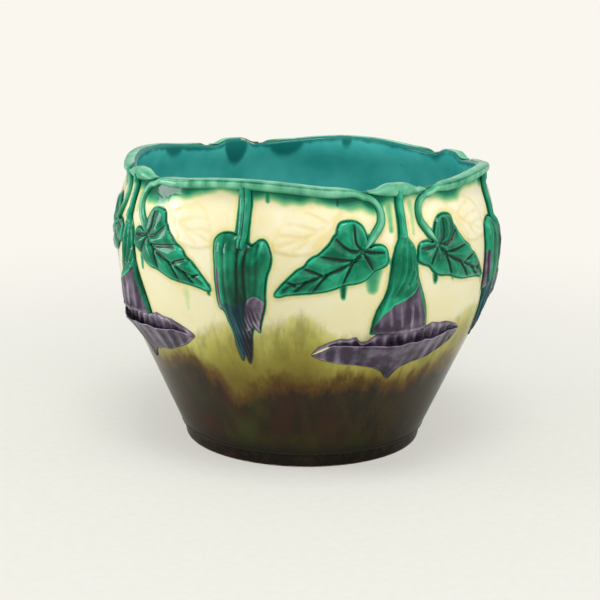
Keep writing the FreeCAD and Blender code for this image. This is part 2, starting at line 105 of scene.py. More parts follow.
def wallRadius(height):
    height = np.asarray(height, float)
    belly, middle = wall["bellyRadius"], wall["bellyHeight"]
    cone = wall["jointRadius"] + (height - wall["jointHeight"]) * coneSlope
    lower = belly - wall["lowerCurve"] + arcReach(wall["lowerCurve"], height - middle)
    upper = belly - wall["shoulderCurve"] + arcReach(wall["shoulderCurve"], height - middle)
    neck = neckRadius - arcReach(wall["neckCurve"], height - neckHeight)
    zones = [height < coneTop, height < middle, height < wall["neckStart"]]
    return np.select(zones, [cone, lower, upper], neck)


def rimTop(across):
    angle = np.degrees(np.asarray(across, float) / wall["bellyRadius"])
    span = 360 / motifs
    nearest = (angle + span / 2) % span - span / 2
    wave = (1 + np.cos(np.radians(motifs * nearest))) / 2
    arch = np.exp(-((nearest / wall["archAngle"]) ** 4))
    return wall["rimHeight"] - wall["rimFall"] * wave + wall["archRise"] * arch


def onWall(across, height, stand):
    angle = across / wall["bellyRadius"]
    radius = wallRadius(height) + stand
    return np.stack([radius * np.sin(angle), -radius * np.cos(angle), height], axis=-1) * mm


def smoothLine(points, steps=6, closed=False):
    spots = np.array(points, float)
    if closed:
        spots = np.vstack([spots[-1:], spots, spots[:2]])
    else:
        spots = np.vstack([2 * spots[0] - spots[1], spots, 2 * spots[-1] - spots[-2]])
    line = []
    for before, first, second, after in zip(spots, spots[1:], spots[2:], spots[3:]):
        for share in np.linspace(0, 1, steps, endpoint=False):
            line.append(splineSpot(before, first, second, after, share))
    if not closed:
        line.append(spots[-2])
    return np.array(line)


def evenLine(line, shares):
    # spots at these shares of a line's length
    run = np.concatenate([[0], np.cumsum(np.hypot(*np.diff(line, axis=0).T))])
    return [np.interp(shares * run[-1], run, line[:, axis]) for axis in (0, 1)]


def strokeField(across, height, line):
    # distance to a line, which side of it, the share of its length there, and the nearest spot
    gap = np.full(across.shape, farOff)
    side, along, nearAcross, nearHeight = (np.zeros(across.shape) for _ in range(4))
    start = 0.0
    for (ax, ay), (bx, by) in zip(line, line[1:]):
        runX, runY = bx - ax, by - ay
        length = math.hypot(runX, runY)
        if length < 1e-9:
            continue
        share = unit(((across - ax) * runX + (height - ay) * runY) / length ** 2)
        spotX, spotY = ax + share * runX, ay + share * runY
        here = np.hypot(across - spotX, height - spotY)
        nearer = here < gap
        gap = np.where(nearer, here, gap)
        side = np.where(nearer, np.sign(runX * (height - spotY) - runY * (across - spotX)), side)
        along = np.where(nearer, start + share * length, along)
        nearAcross = np.where(nearer, spotX, nearAcross)
        nearHeight = np.where(nearer, spotY, nearHeight)
        start += length
    return gap, side, along / start, nearAcross, nearHeight


def insideOutline(across, height, line):
    inside = np.zeros(across.shape, bool)
    for (ax, ay), (bx, by) in zip(line, np.roll(line, -1, axis=0)):
        if ay != by:
            crossed = (ay > height) != (by > height)
            inside ^= crossed & (across < ax + (height - ay) * (bx - ax) / (by - ay))
    return inside


def edgeDepth(across, height, outline):
    # distance inside an outline, negative outside it, and the nearest spot on it
    gap, _, _, nearAcross, nearHeight = strokeField(across, height, np.vstack([outline, outline[:1]]))
    return np.where(insideOutline(across, height, outline), gap, -gap), nearAcross, nearHeight


def smoothed(field, passes):
    for _ in range(passes):
        wide = np.pad(field, 1, mode="edge")
        around = wide[:-2, 1:-1] + wide[2:, 1:-1] + wide[1:-1, :-2] + wide[1:-1, 2:]
        field = (2 * field + around) / 6
    return field


def softNoise(across, height, scale, seed):
    # a few waves laid over each other, the same on each run
    waves = 7
    rng = np.random.default_rng(seed)
    total = np.zeros(np.broadcast(across, height).shape)
    for _ in range(waves):
        turn, phase, stretch = rng.uniform(0, math.tau), rng.uniform(0, math.tau), rng.uniform(0.6, 1.7)
        run = across * math.cos(turn) + height * math.sin(turn)
        total = total + np.sin(run * stretch * math.tau / scale + phase)
    return total / waves


# Sheets of clay: a grid is laid on the wall, cut to its outline and given its thickness.
def newGrid(name, columns, rows):
    bpy.ops.object.select_all(action="DESELECT")
    bpy.ops.mesh.primitive_grid_add(x_subdivisions=columns, y_subdivisions=rows, size=1)
    piece = bpy.context.object
    piece.name = name
    piece.data.name = name
    shareAcross = np.tile(np.linspace(0, 1, columns + 1), (rows + 1, 1))
    shareUp = np.tile(np.linspace(0, 1, rows + 1)[:, None], (1, columns + 1))
    return piece, shareAcross, shareUp


def placeSpots(piece, across, height, stand, fields):
    spots = onWall(across, height, stand)
    piece.data.vertices.foreach_set("co", spots.reshape(-1))
    for label, values in fields.items():
        layer = piece.data.attributes.new(label, "FLOAT", "POINT")
        layer.data.foreach_set("value", np.ascontiguousarray(values, dtype=np.float32).reshape(-1))
    piece.data.update()


def deleteFaces(piece, doomed):
    mesh = piece.data
    mesh.vertices.foreach_set("select", np.zeros(len(mesh.vertices), bool))
    mesh.edges.foreach_set("select", np.zeros(len(mesh.edges), bool))
    mesh.polygons.foreach_set("select", doomed)
    bpy.context.tool_settings.mesh_select_mode = (False, False, True)
    bpy.ops.object.mode_set(mode="EDIT")
    bpy.ops.mesh.delete(type="FACE")
    bpy.ops.object.mode_set(mode="OBJECT")


def applyModifier(piece, kind, **settings):
    modifier = piece.modifiers.new(kind.title(), kind)
    for key, value in settings.items():
        setattr(modifier, key, value)
    bpy.ops.object.modifier_apply(modifier=modifier.name)


def closeSeams():
    bpy.context.tool_settings.mesh_select_mode = (True, False, False)
    bpy.ops.object.mode_set(mode="EDIT")
    bpy.ops.mesh.select_all(action="SELECT")
    bpy.ops.mesh.remove_doubles(threshold=2e-6)
    bpy.ops.mesh.dissolve_degenerate(threshold=1e-7)
    bpy.ops.object.mode_set(mode="OBJECT")


buried = 0.6  # how far a sheet's edge runs into the wall
sheetThickness = 1.2 * mm


def reliefSheet(name, columns, rows, draw):
    # draw gives the spots, the depth inside the outline, the nearest spots on it, and the fields
    piece, shareAcross, shareUp = newGrid(name, columns, rows)
    across, height, stand, depth, nearAcross, nearHeight, fields = draw(shareAcross, shareUp)
    corners = [depth[:-1, :-1], depth[:-1, 1:], depth[1:, :-1], depth[1:, 1:]]
    doomed = np.minimum.reduce(corners) < -buried
    kept = np.zeros(depth.shape, bool)
    cut = np.zeros(depth.shape, bool)
    for marks, faces in ((kept, ~doomed), (cut, doomed)):
        marks[:-1, :-1] |= faces
        marks[:-1, 1:] |= faces
        marks[1:, :-1] |= faces
        marks[1:, 1:] |= faces
    border = kept & cut
    awayAcross, awayHeight = across - nearAcross, height - nearHeight
    reach = np.maximum(np.hypot(awayAcross, awayHeight), 1e-3)
    across = np.where(border, nearAcross + awayAcross / reach * buried, across)
    height = np.where(border, nearHeight + awayHeight / reach * buried, height)
    stand = np.where(border, -buried, stand)
    placeSpots(piece, across, height, stand, fields)
    deleteFaces(piece, doomed.reshape(-1))
    applyModifier(piece, "SOLIDIFY", thickness=sheetThickness, offset=-1, use_even_offset=False)
    bpy.ops.object.shade_smooth()
    return piece


def roundSheet(name, columns, rows, draw):
    # a closed roll: the rows go round the section, and both ends run out to a spot
    piece, shareAcross, shareUp = newGrid(name, columns, rows)
    placeSpots(piece, *draw(shareAcross, shareUp))
    closeSeams()
    bpy.ops.object.shade_smooth()
    return piece


def repeatRound(master, firstTurn, node, material):
    # four pieces, each with its own mesh, for the four moulded copies of the node
    word = master.name
    for number in range(motifs):
        piece = master if number == motifs - 1 else master.copy()
        if piece is not master:
            piece.data = master.data.copy()
            bpy.context.collection.objects.link(piece)
        piece.data.transform(Matrix.Rotation(firstTurn + number * math.tau / motifs, 4, "Z"))
        piece.name = "%s%d" % (word, number + 1)
        piece.data.name = piece.name
        piece.data.materials.clear()
        piece.data.materials.append(material)
        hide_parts("%s_%d" % (node, number + 1))
        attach(piece, "root")


def reliefFields(stand, depth, **more):
    # where the glaze pools, and where it runs thin over an edge
    hollow = smoothed(stand, 10) - stand
    fields = {
        "pool": unit(hollow / 0.30) + (1 - smoothStep(0.1, 1.0, depth)) * 0.8,
        "thin": unit(-hollow / 0.35) * smoothStep(0.2, 0.8, depth),
    }
    fields.update(more)
    return fields


def edgeSink(depth):
    # a sheet dips into the wall at its outline
    return buried * (1 - smoothStep(-buried, 0.1, depth))


def colour(red, green, blue):
    # screen values from 0 to 255, as the linear colour that a node takes
    parts = []
    for value in (red, green, blue):
        value = value / 255
        parts.append(value / 12.92 if value <= 0.04045 else ((value + 0.055) / 1.055) ** 2.4)
    return (*parts, 1)


def addNode(tree, kind, inputs=None, **settings):
    made = tree.nodes.new("ShaderNode" + kind)
    for key, value in settings.items():
        setattr(made, key, value)
    for key, value in (inputs or {}).items():
        if isinstance(value, bpy.types.NodeSocket):
            tree.links.new(value, made.inputs[key])
        else:
            made.inputs[key].default_value = value
    return made


def mixColour(tree, factor, first, second):
    return addNode(tree, "Mix", {0: factor, 6: first, 7: second}, data_type="RGBA").outputs[2]


def maths(tree, operation, first, second=0.0, clamp=False):
    return addNode(tree, "Math", {0: first, 1: second}, operation=operation, use_clamp=clamp).outputs[0]


def plus(tree, first, second, clamp=False):
    return maths(tree, "ADD", first, second, clamp)


def minus(tree, first, second, clamp=False):
    return maths(tree, "SUBTRACT", first, second, clamp)


def times(tree, first, second, clamp=False):
    return maths(tree, "MULTIPLY", first, second, clamp)


def larger(tree, first, second):
    return maths(tree, "MAXIMUM", first, second)


def remap(tree, value, low, high, newLow=0.0, newHigh=1.0, smooth=True):
    ends = {"Value": value, "From Min": low, "From Max": high, "To Min": newLow, "To Max": newHigh}
    kind = "SMOOTHSTEP" if smooth else "LINEAR"
    return addNode(tree, "MapRange", ends, interpolation_type=kind).outputs[0]


def tint(tree, tone, field, limits, shade):
    # a shade laid over a tone, as strongly as a field says between its limits
    return mixColour(tree, remap(tree, field, *limits), tone, colour(*shade))


def swing(tree, pattern, reach):
    # a noise that goes both ways from nought
    return times(tree, minus(tree, pattern, 0.5), reach)


def mottle(tree, pattern, low, high, first, second):
    # two shades parted by a noise
    return mixColour(tree, remap(tree, pattern, low, high), colour(*first), colour(*second))


def colourRamp(tree, value, stops):
    ramp = addNode(tree, "ValToRGB", {0: value})
    band = ramp.color_ramp
    while len(band.elements) < len(stops):
        band.elements.new(0.5)
    for element, (position, tone) in zip(band.elements, stops):
        element.position = position
        element.color = colour(*tone)
    return ramp.outputs[0]


def heightField(tree, coords):
    return times(tree, addNode(tree, "SeparateXYZ", {0: coords}).outputs["Z"], 1 / mm)


def readField(tree, label):
    return addNode(tree, "Attribute", attribute_name=label).outputs["Fac"]


def noise(tree, coords, scale, detail=3.0, roughness=0.55, stretch=None, shift=(0, 0, 0)):
    if stretch or shift != (0, 0, 0):
        moved = {"Vector": coords, "Location": shift, "Scale": stretch or (1, 1, 1)}
        coords = addNode(tree, "Mapping", moved).outputs[0]
    inputs = {"Vector": coords, "Scale": scale, "Detail": detail, "Roughness": roughness}
    return addNode(tree, "TexNoise", inputs).outputs[0]


def newGroup(name, inputs, outputs):
    group = bpy.data.node_groups.new(name, "ShaderNodeTree")
    for side, sockets in (("INPUT", inputs), ("OUTPUT", outputs)):
        for label, kind in sockets:
            group.interface.new_socket(label, in_out=side, socket_type="NodeSocket" + kind)
    return group, group.nodes.new("NodeGroupInput"), group.nodes.new("NodeGroupOutput")


def makeFlowGroup():
    # a coloured glaze that pools dark in the hollows and breaks pale over the edges; on the trumpets and
    # mouths the Pool field also carries painted shade, and on the trumpets the Thin field also carries
    # painted highlights
    inputs = [("Deep", "Color"), ("Body", "Color"), ("Pale", "Color"), ("Pool", "Float"), ("Thin", "Float")]
    outputs = [("Color", "Color"), ("Roughness", "Float"), ("Height", "Float")]
    group, given, result = newGroup("flowingGlaze", inputs + [("Vector", "Vector")], outputs)
    coords = given.outputs["Vector"]
    broad = noise(group, coords, 55, 2)
    brush = noise(group, coords, 240, 4, 0.6, stretch=(1, 1, 0.3))
    fine = noise(group, coords, 900, 3)
    uneven = remap(group, broad, 0.35, 0.68, -0.24, 0.24, smooth=False)
    streaks = remap(group, brush, 0.3, 0.7, -0.12, 0.12, smooth=False)
    wobble = plus(group, uneven, streaks)
    dark = plus(group, times(group, given.outputs["Pool"], 0.95), wobble, clamp=True)
    light = minus(group, times(group, given.outputs["Thin"], 0.9), wobble, clamp=True)
    tone = mixColour(group, dark, given.outputs["Body"], given.outputs["Deep"])
    paleShare = times(group, light, minus(group, 1.0, dark, clamp=True), clamp=True)
    tone = mixColour(group, paleShare, tone, given.outputs["Pale"])
    group.links.new(tone, result.inputs["Color"])
    group.links.new(remap(group, fine, 0.3, 0.7, 0.07, 0.17), result.inputs["Roughness"])
    height = plus(group, times(group, broad, 0.8), times(group, brush, 0.2))
    group.links.new(height, result.inputs["Height"])
    return group


def makeSpeckGroup():
    # pinholes and stray brown specks in the glaze, one every few centimetres
    inputs = [("Vector", "Vector"), ("Scale", "Float")]
    group, given, result = newGroup("glazeSpecks", inputs, [("Speck", "Float")])
    cells = addNode(group, "TexVoronoi", {"Vector": given.outputs["Vector"], "Scale": given.outputs["Scale"]})
    pick = addNode(group, "SeparateColor", {0: cells.outputs["Color"]}).outputs[0]
    chosen = remap(group, pick, 0.90, 0.93)
    dot = remap(group, cells.outputs["Distance"], 0.045, 0.085, 1.0, 0.0)
    group.links.new(times(group, chosen, dot), result.inputs["Speck"])
    return group


flowingGlaze = makeFlowGroup()
glazeSpecks = makeSpeckGroup()
gloss = {"IOR": 1.5, "Specular IOR Level": 0.16, "Coat Weight": 0.16, "Coat Roughness": 0.03}


def openTree(owner):
    owner.use_nodes = True
    owner.node_tree.nodes.clear()
    return owner.node_tree


def newMaterial(name):
    material = bpy.data.materials.new(name)
    tree = openTree(material)
    coords = addNode(tree, "TexCoord").outputs["Object"]
    shader = addNode(tree, "BsdfPrincipled", gloss)
    target = addNode(tree, "OutputMaterial")
    tree.links.new(shader.outputs[0], target.inputs["Surface"])
    return material, tree, coords, shader


def useGroup(tree, group, inputs):
    return addNode(tree, "Group", inputs, node_tree=group)


def finishShader(tree, shader, tone, rough, height, strength, distance):
    tree.links.new(tone, shader.inputs["Base Color"])
    tree.links.new(rough, shader.inputs["Roughness"])
    bump = addNode(tree, "Bump", {"Strength": strength, "Distance": distance, "Height": height})
    tree.links.new(bump.outputs[0], shader.inputs["Normal"])


glazes = {
    "green": {"Deep": colour(0, 46, 30), "Body": colour(0, 120, 84), "Pale": colour(44, 184, 138)},
    "vine": {"Deep": colour(0, 76, 52), "Body": colour(56, 158, 118), "Pale": colour(146, 214, 176)},
    "stem": {"Deep": colour(0, 62, 42), "Body": colour(8, 140, 102), "Pale": colour(70, 188, 154)},
    "purple": {"Deep": colour(26, 20, 32), "Body": colour(74, 60, 80), "Pale": colour(162, 150, 168)},
    "teal": {"Deep": colour(0, 46, 58), "Body": colour(0, 84, 82), "Pale": colour(56, 120, 132)},
    "cream": {"Deep": colour(150, 120, 60), "Body": colour(226, 208, 160), "Pale": colour(250, 244, 222)},
}


def glazeTone(tree, coords, label):
    fields = {"Pool": readField(tree, "pool"), "Thin": readField(tree, "thin"), "Vector": coords}
    return useGroup(tree, flowingGlaze, {**glazes[label], **fields})


def makeGlaze(name, main, second=None, field=None, third=None, thirdField=None):
    # one glaze, or two or three that run into each other where a field says
    material, tree, coords, shader = newMaterial(name)
    first = glazeTone(tree, coords, main)
    tone = first.outputs["Color"]
    edge = times(tree, minus(tree, noise(tree, coords, 420, 4), 0.5), 0.5)
    for label, mask in ((second, field), (third, thirdField)):
        if label:
            share = remap(tree, plus(tree, readField(tree, mask), edge), 0.32, 0.68)
            tone = mixColour(tree, share, tone, glazeTone(tree, coords, label).outputs["Color"])
    speck = useGroup(tree, glazeSpecks, {"Vector": coords, "Scale": 150.0})
    tone = mixColour(tree, times(tree, speck.outputs[0], 0.6), tone, colour(40, 30, 22))
    finishShader(tree, shader, tone, first.outputs["Roughness"], first.outputs["Height"], 0.35, 0.0008)
    return material


leaf = {
    "length": 66.7, "offset": 29.8, "height": 168.0, "tilt": math.radians(26.7),
    "margin": 1.3, "crown": 0.7, "veinDepth": 1.1, "veinWidth": 1.1,
    "step": 0.5,  # size of the grid's cells
}
leafEdge = [  # from the notch over the upper lobe to the tip, and back along the lower edge, in leaf lengths
    (-0.091, 0.004), (-0.112, 0.091), (-0.122, 0.183), (-0.103, 0.252), (-0.066, 0.298), (-0.014, 0.328),
    (0.043, 0.348), (0.085, 0.347), (0.119, 0.322), (0.159, 0.275), (0.194, 0.265), (0.253, 0.228),
    (0.325, 0.202), (0.404, 0.178), (0.462, 0.178), (0.525, 0.165), (0.578, 0.136), (0.657, 0.13),
    (0.735, 0.107), (0.864, 0.061), (0.98, -0.003), (0.946, -0.043), (0.866, -0.059), (0.733, -0.105),
    (0.604, -0.158), (0.487, -0.196), (0.378, -0.212), (0.288, -0.228), (0.196, -0.263), (0.113, -0.278),
    (0.048, -0.268), (-0.025, -0.243), (-0.114, -0.253), (-0.183, -0.242), (-0.215, -0.188),
    (-0.24, -0.115), (-0.216, -0.052), (-0.161, -0.015), (-0.12, -0.006),
]
leafVeins = [  # midrib first
    [(0, 0), (0.116, -0.042), (0.26, -0.045), (0.438, -0.031), (0.614, -0.015), (0.763, 0.015),
     (0.872, 0.003)],
    [(0.112, -0.036), (0.223, 0.029), (0.405, 0.157)],
    [(0.471, -0.015), (0.522, 0.045), (0.618, 0.14)],
    [(0.747, 0.007), (0.814, 0.077)],
    [(0, 0), (0.114, 0.083), (0.185, 0.236)],
    [(0, 0), (0.018, 0.11), (-0.043, 0.264)],
    [(0, 0), (-0.006, -0.087), (-0.011, -0.215)],
    [(0.152, -0.058), (0.242, -0.13), (0.331, -0.211)],
    [(0.425, -0.046), (0.527, -0.087), (0.623, -0.139)],
    [(0.635, -0.016), (0.777, -0.054)],
    [(0, 0), (-0.082, -0.058), (-0.193, -0.122)],
]
leafOutline = smoothLine(leafEdge, 3, closed=True) * leaf["length"]


def outlineBox(outline, step):
    # the box round an outline with 2 mm to spare, and how many cells of a size it takes
    low, high = outline.min(0) - 2, outline.max(0) + 2
    columns, rows = ((high - low) / step).astype(int)
    return low, high, int(columns), int(rows)


def leafSpot(along, aside, side):
    tilt = leaf["tilt"]
    out = leaf["offset"] + along * math.cos(tilt) + aside * math.sin(tilt)
    return side * out, leaf["height"] - along * math.sin(tilt) + aside * math.cos(tilt)


def drawLeaf(side):
    low, high, columns, rows = outlineBox(leafOutline, leaf["step"])

    def draw(shareAcross, shareUp):
        shareAlong = shareAcross if side > 0 else 1 - shareAcross
        along = between(low[0], high[0], shareAlong)
        aside = between(low[1], high[1], shareUp)
        depth, nearAlong, nearAside = edgeDepth(along, aside, leafOutline)
        margin = leaf["margin"] * smoothStep(-0.15, 1.5, depth)
        stand = margin + leaf["crown"] * smoothStep(0, 9, depth) - edgeSink(depth)
        nearest = np.full(depth.shape, farOff)
        for number, vein in enumerate(leafVeins):
            line = smoothLine(np.array(vein) * leaf["length"], 5)
            gap, hand, share, _, _ = strokeField(along, aside, line)
            taper = 1 - 0.65 * share ** 2
            width = leaf["veinWidth"] * (1.25 if number == 0 else 1) * (0.6 + 0.4 * taper)
            groove = bell(gap, 0, width) * taper
            # one panel laps the next along the vein
            lap = 0.45 * hand * np.exp(-gap / 3.2) * smoothStep(0.2, 1.0, gap) * taper
            stand = stand - (leaf["veinDepth"] * groove - lap) * smoothStep(0, 2.5, depth)
            nearest = np.minimum(nearest, gap)
        stand = stand + 0.75 * smoothStep(0.5, 5.5, nearest) * smoothStep(0, 3, depth)
        stand = stand + 0.22 * softNoise(along, aside, 14, 5) * smoothStep(0, 2, depth)
        across, height = leafSpot(along, aside, side)
        nearAcross, nearHeight = leafSpot(nearAlong, nearAside, side)
        fields = reliefFields(stand, depth)
        patch = 0.5 + 0.5 * softNoise(along, aside, 21, 15)
        pool, thin = fields["pool"], fields["thin"]
        fields["pool"] = pool + 0.55 * np.exp(-nearest / 1.9) + 0.35 * smoothStep(34, 4, along) * patch
        fields["thin"] = thin + 0.5 * smoothStep(2.2, 5.5, nearest) * smoothStep(2, 40, along) * patch
        return across, height, stand, depth, nearAcross, nearHeight, fields

    return columns, rows, draw


greenGlaze = makeGlaze("greenGlaze", "green")
for side, word, node in ((1, "leafRight", "leaf_right"), (-1, "leafLeft", "leaf_left")):
    sheet = reliefSheet(word, *drawLeaf(side))
    repeatRound(sheet, 0, node, greenGlaze)
print("leaves made")


# rolls of clay: the vine with its petioles, the arch over a blossom and the stems
vine = {
    "petioleHalf": 2.4, "petioleRelief": 2.7, "rollHalf": 3.6, "rollRelief": 3.4,
    "hookRadius": 12.5, "hookOffset": 15.0, "hookHeight": 190.0, "petioleAngle": math.radians(22),
    "furrow": 0.5,  # the crease that parts the roll from the thin bead at the rim
    "columns": 420, "rows": 30,
}


def vineLine():
    middle = vine["hookOffset"] + vine["hookRadius"]
    back = 3 * vine["petioleHalf"]
    end = np.array(leafSpot(-back, back * math.tan(vine["petioleAngle"]), 1))
    base = np.array(leafSpot(-1.2, 0.4, 1))
    away = end - np.array([middle, vine["hookHeight"]])
    low = math.atan2(away[1], away[0]) - math.acos(vine["hookRadius"] / np.hypot(*away))
    low = low % math.tau
    points = [base, end]
    radius = vine["hookRadius"]
    for turn in np.linspace(low, math.pi / 2, 7):
        points.append((middle + radius * math.cos(turn), vine["hookHeight"] + radius * math.sin(turn)))
    start = middle + vine["hookRadius"] / 2
    for across in np.linspace(start, budAxis, 9):
        half = between(vine["petioleHalf"], vine["rollHalf"], smoothStep(start, start + 25, across))
        points.append((across, rimTop(across) - half))
    return smoothLine(points, 8)


vineHalfLine = vineLine()


frontShare = 0.78  # share of a section's rows that lie in front


def sectionLoop(shareUp):
    # rows go from one edge over the crest to the other edge, and back inside the wall
    isFront = shareUp <= frontShare
    ahead = unit(shareUp / frontShare)
    behind = unit((shareUp - frontShare) / (1 - frontShare))
    side = np.where(isFront, -np.cos(math.pi * ahead), 1 - 2 * behind)
    rise = np.where(isFront, np.sin(math.pi * ahead) ** 0.75, -np.sin(math.pi * behind) * 0.3)
    return side, rise, ahead


def crestLift(ahead):
    return 0.7 * smoothStep(0, 0.25, ahead) * smoothStep(0, 0.25, 1 - ahead)


def drawVine(shareAcross, shareUp):
    right = vineHalfLine
    left = np.column_stack([2 * budAxis - right[::-1, 0], right[::-1, 1]])
    across, height = evenLine(np.vstack([right, left[1:]]), shareAcross)
    runAcross, runHeight = np.gradient(across, axis=1), np.gradient(height, axis=1)
    run = np.hypot(runAcross, runHeight)
    runAcross, runHeight = runAcross / run, runHeight / run
    fromAxis = budAxis - np.abs(across - budAxis)
    hookTop = vine["hookOffset"] + vine["hookRadius"]
    onRim = smoothStep(hookTop + 2, hookTop + 20, fromAxis) * smoothStep(196, 200, height)
    half = between(vine["petioleHalf"], vine["rollHalf"], onRim)
    relief = between(vine["petioleRelief"], vine["rollRelief"], onRim)
    end = np.minimum(shareAcross, 1 - shareAcross)
    closing = smoothStep(0, 0.012, end) ** 0.5
    swell = 1 + 0.10 * softNoise(across, 0 * across, 26, 11) + 0.05 * softNoise(across, 0 * across, 9, 12)
    half = half * (0.35 + 0.65 * smoothStep(0, 0.045, end)) * closing
    relief = relief * swell * closing
    side, rise, ahead = sectionLoop(shareUp)
    crease = bell(side, 0.52, 0.13) * onRim * vine["furrow"]
    stand = relief * rise - 0.7 - crease * (rise > 0)
    stand = stand + crestLift(ahead) * closing
    over = onRim * smoothStep(0.72, 1.0, ahead)  # the roll wraps over the pot's lip
    back = np.where(shareUp <= frontShare, over, onRim * unit((side + 0.2) / 1.2))
    stand = stand - 4.2 * back
    side = side - 0.10 * back
    spotAcross = across - runHeight * side * half
    spotHeight = height + runAcross * side * half
    pool = unit(1 - smoothStep(0.12, 0.5, rise) + 1.4 * crease) * (1 - over)
    thin = smoothStep(0.75, 1, rise) * (0.55 + 0.5 * softNoise(across, height, 17, 3)) + over
    return spotAcross, spotHeight, stand, {"pool": pool, "thin": unit(thin)}


vineGlaze = makeGlaze("vineGlaze", "vine")
stemGlaze = makeGlaze("stemGlaze", "stem")
roll = roundSheet("rimVine", vine["columns"], vine["rows"], drawVine)
repeatRound(roll, 0, "rim_vine", vineGlaze)

cap = {"halfSpan": 21.5, "depth": 9.2, "relief": 3.6, "columns": 110, "rows": 34}


def capLow(across):
    share = across / cap["halfSpan"]
    middle = float(rimTop(0)) - cap["depth"]
    end = float(rimTop(cap["halfSpan"])) - 1
    return middle + (end - middle) * share ** 2 * 0.7  # the arch's lower edge, lifted toward its ends


def drawCap(shareAcross, shareUp):
    across = (2 * shareAcross - 1) * (cap["halfSpan"] + 2.5)
    end = 1 - np.abs(2 * shareAcross - 1)
    closing = smoothStep(0, 0.05, end) ** 0.5
    low, high = capLow(np.clip(across, -cap["halfSpan"], cap["halfSpan"])), rimTop(across)
    middle, half = (low + high) / 2, (high - low) / 2 * closing
    side, rise, ahead = sectionLoop(shareUp)
    relief = cap["relief"] * (1 - 0.4 * (across / cap["halfSpan"]) ** 2) * closing
    ripple = 0.35 * softNoise(across, middle + side * half, 13, 21) * smoothStep(0.3, 0.8, rise)
    stand = relief * rise + ripple - 0.7 + crestLift(ahead)
    over = smoothStep(0.72, 1.0, ahead) * closing
    back = np.where(shareUp <= frontShare, over, unit((side + 0.2) / 1.2) * closing)
    stand = stand - 4.4 * back
    height = middle + (side - 0.08 * back) * half
    pool = unit(1 - smoothStep(0.1, 0.5, rise)) * (1 - over)
    thin = smoothStep(0.55, 1, rise) * (0.5 + 0.8 * softNoise(across, height, 15, 4)) + 0.8 * over
    return across, height, stand, {"pool": pool, "thin": unit(thin)}


capPiece = roundSheet("blossomArch", cap["columns"], cap["rows"], drawCap)
repeatRound(capPiece, 0, "blossom_arch", vineGlaze)

stems = {
    # heights of the ends, half widths there, stand at the crest, lap of the top over the rim's roll, swell of
    # the lower end, and the furrow that parts a twin stem
    "blossomStem": {
        "node": "blossom_stem", "turn": 0.0, "high": 208.0, "low": 174.0, "halfHigh": 2.6, "halfLow": 3.0,
        "crest": 2.9, "lap": 1.6, "lapFrom": 199.0, "tail": 0.9, "twin": 0.0,
    },
    "budStem": {
        "node": "bud_stem", "turn": math.pi / 4, "high": 210.0, "low": 167.0, "halfHigh": 4.7, "halfLow": 3.2,
        "crest": 3.1, "lap": 0.9, "lapFrom": 201.0, "tail": 2.6, "twin": 0.9,
    },
}
stemGrid = (26, 110)  # columns across the section, rows down the stem


def drawStem(stem):
    def draw(shareAcross, shareUp):
        height = between(stem["high"], stem["low"], shareUp)
        side, rise, _ = sectionLoop(shareAcross)
        end = np.minimum(shareUp, 1 - shareUp)
        closing = smoothStep(0, 0.06, end) ** 0.5
        half = between(stem["halfHigh"], stem["halfLow"], shareUp) * (0.4 + 0.6 * closing)
        lap = stem["lap"] * smoothStep(stem["lapFrom"], stem["lapFrom"] + 3, height)
        tail = stem["tail"] * smoothStep(0.72, 0.85, shareUp)
        furrow = stem["twin"] * bell(side, 0, 0.2)
        crest = (stem["crest"] + lap + tail) * closing
        stand = (crest - furrow * (rise > 0)) * rise - 0.5 * (1 - smoothStep(0, 0.3, rise))
        across = side * half + 0.5 * np.sin(height / 9)
        fields = {
            "pool": unit(1 - smoothStep(0.15, 0.6, rise) + furrow),
            "thin": smoothStep(0.8, 1, rise) * (0.5 + 0.5 * softNoise(across, height, 12, 6)),
        }
        return across, height, stand, fields
    return draw


for label, stem in stems.items():
    rib = roundSheet(label, *stemGrid, drawStem(stem))
    repeatRound(rib, stem["turn"], stem["node"], stemGlaze)
print("vine and stems made")

trumpet = {
    "top": 177.0, "bottom": 111.0, "columns": 130, "rows": 170,
    "calyxRise": 0.2, "calyxStep": 0.5, "rib": 0.3,
    "tucked": 0.06,  # share of the rows that turn in under the mouth
}
trumpetEdge = np.array([  # height, left and right edge, relief
    (177.5, -3.0, 3.0, 2.4), (174.5, -3.2, 4.6, 3.2), (170, -5.6, 8.4, 3.6), (161, -8.4, 10.6, 3.7),
    (147, -9.8, 12.8, 3.9), (141, -11, 15.4, 4.2), (135, -13.2, 18.2, 4.8), (127, -17.6, 21.4, 5.9),
    (119, -19.6, 23.8, 6.8), (111, -20.4, 25.4, 7.4), (109, -20.4, 25.4, 7.4),
])
trumpetFolds = [  # line, depth, width
    ([(0.5, 176), (-1.5, 165), (-1.8, 154), (-4.5, 145), (-9, 137), (-14, 128)], 1.1, 1.3),
    ([(2.5, 175), (3.4, 164), (3.0, 154), (0.5, 146), (-4, 139), (-9, 133)], 1.5, 1.6),
    ([(5.5, 171), (7.6, 162), (7.6, 154), (5.2, 147), (1.2, 141)], 1.3, 1.5),
    ([(9.6, 158), (10.6, 151), (9.2, 145)], 0.9, 1.2),
]
calyxEdge = np.array([
    (-21, 110), (-19.5, 114), (-15, 122.9), (-7, 130.8), (2, 134.5), (8, 138.5), (12.5, 144), (16, 150),
])
# where the trumpet's purple fades into green, by heights
fluteRight = np.array([(108, 23.5), (116, 22), (125, 18.5), (134, 14), (144, 11.5)])


def alongTrumpet(height):
    order = trumpetEdge[::-1]
    return [smoothed(np.interp(height, order[:, 0], order[:, column]), 6) for column in (1, 2, 3)]


def calyxLine(across):
    # lower edge of the calyx, from which the purple of the trumpet comes out
    return np.interp(across, calyxEdge[:, 0], calyxEdge[:, 1])


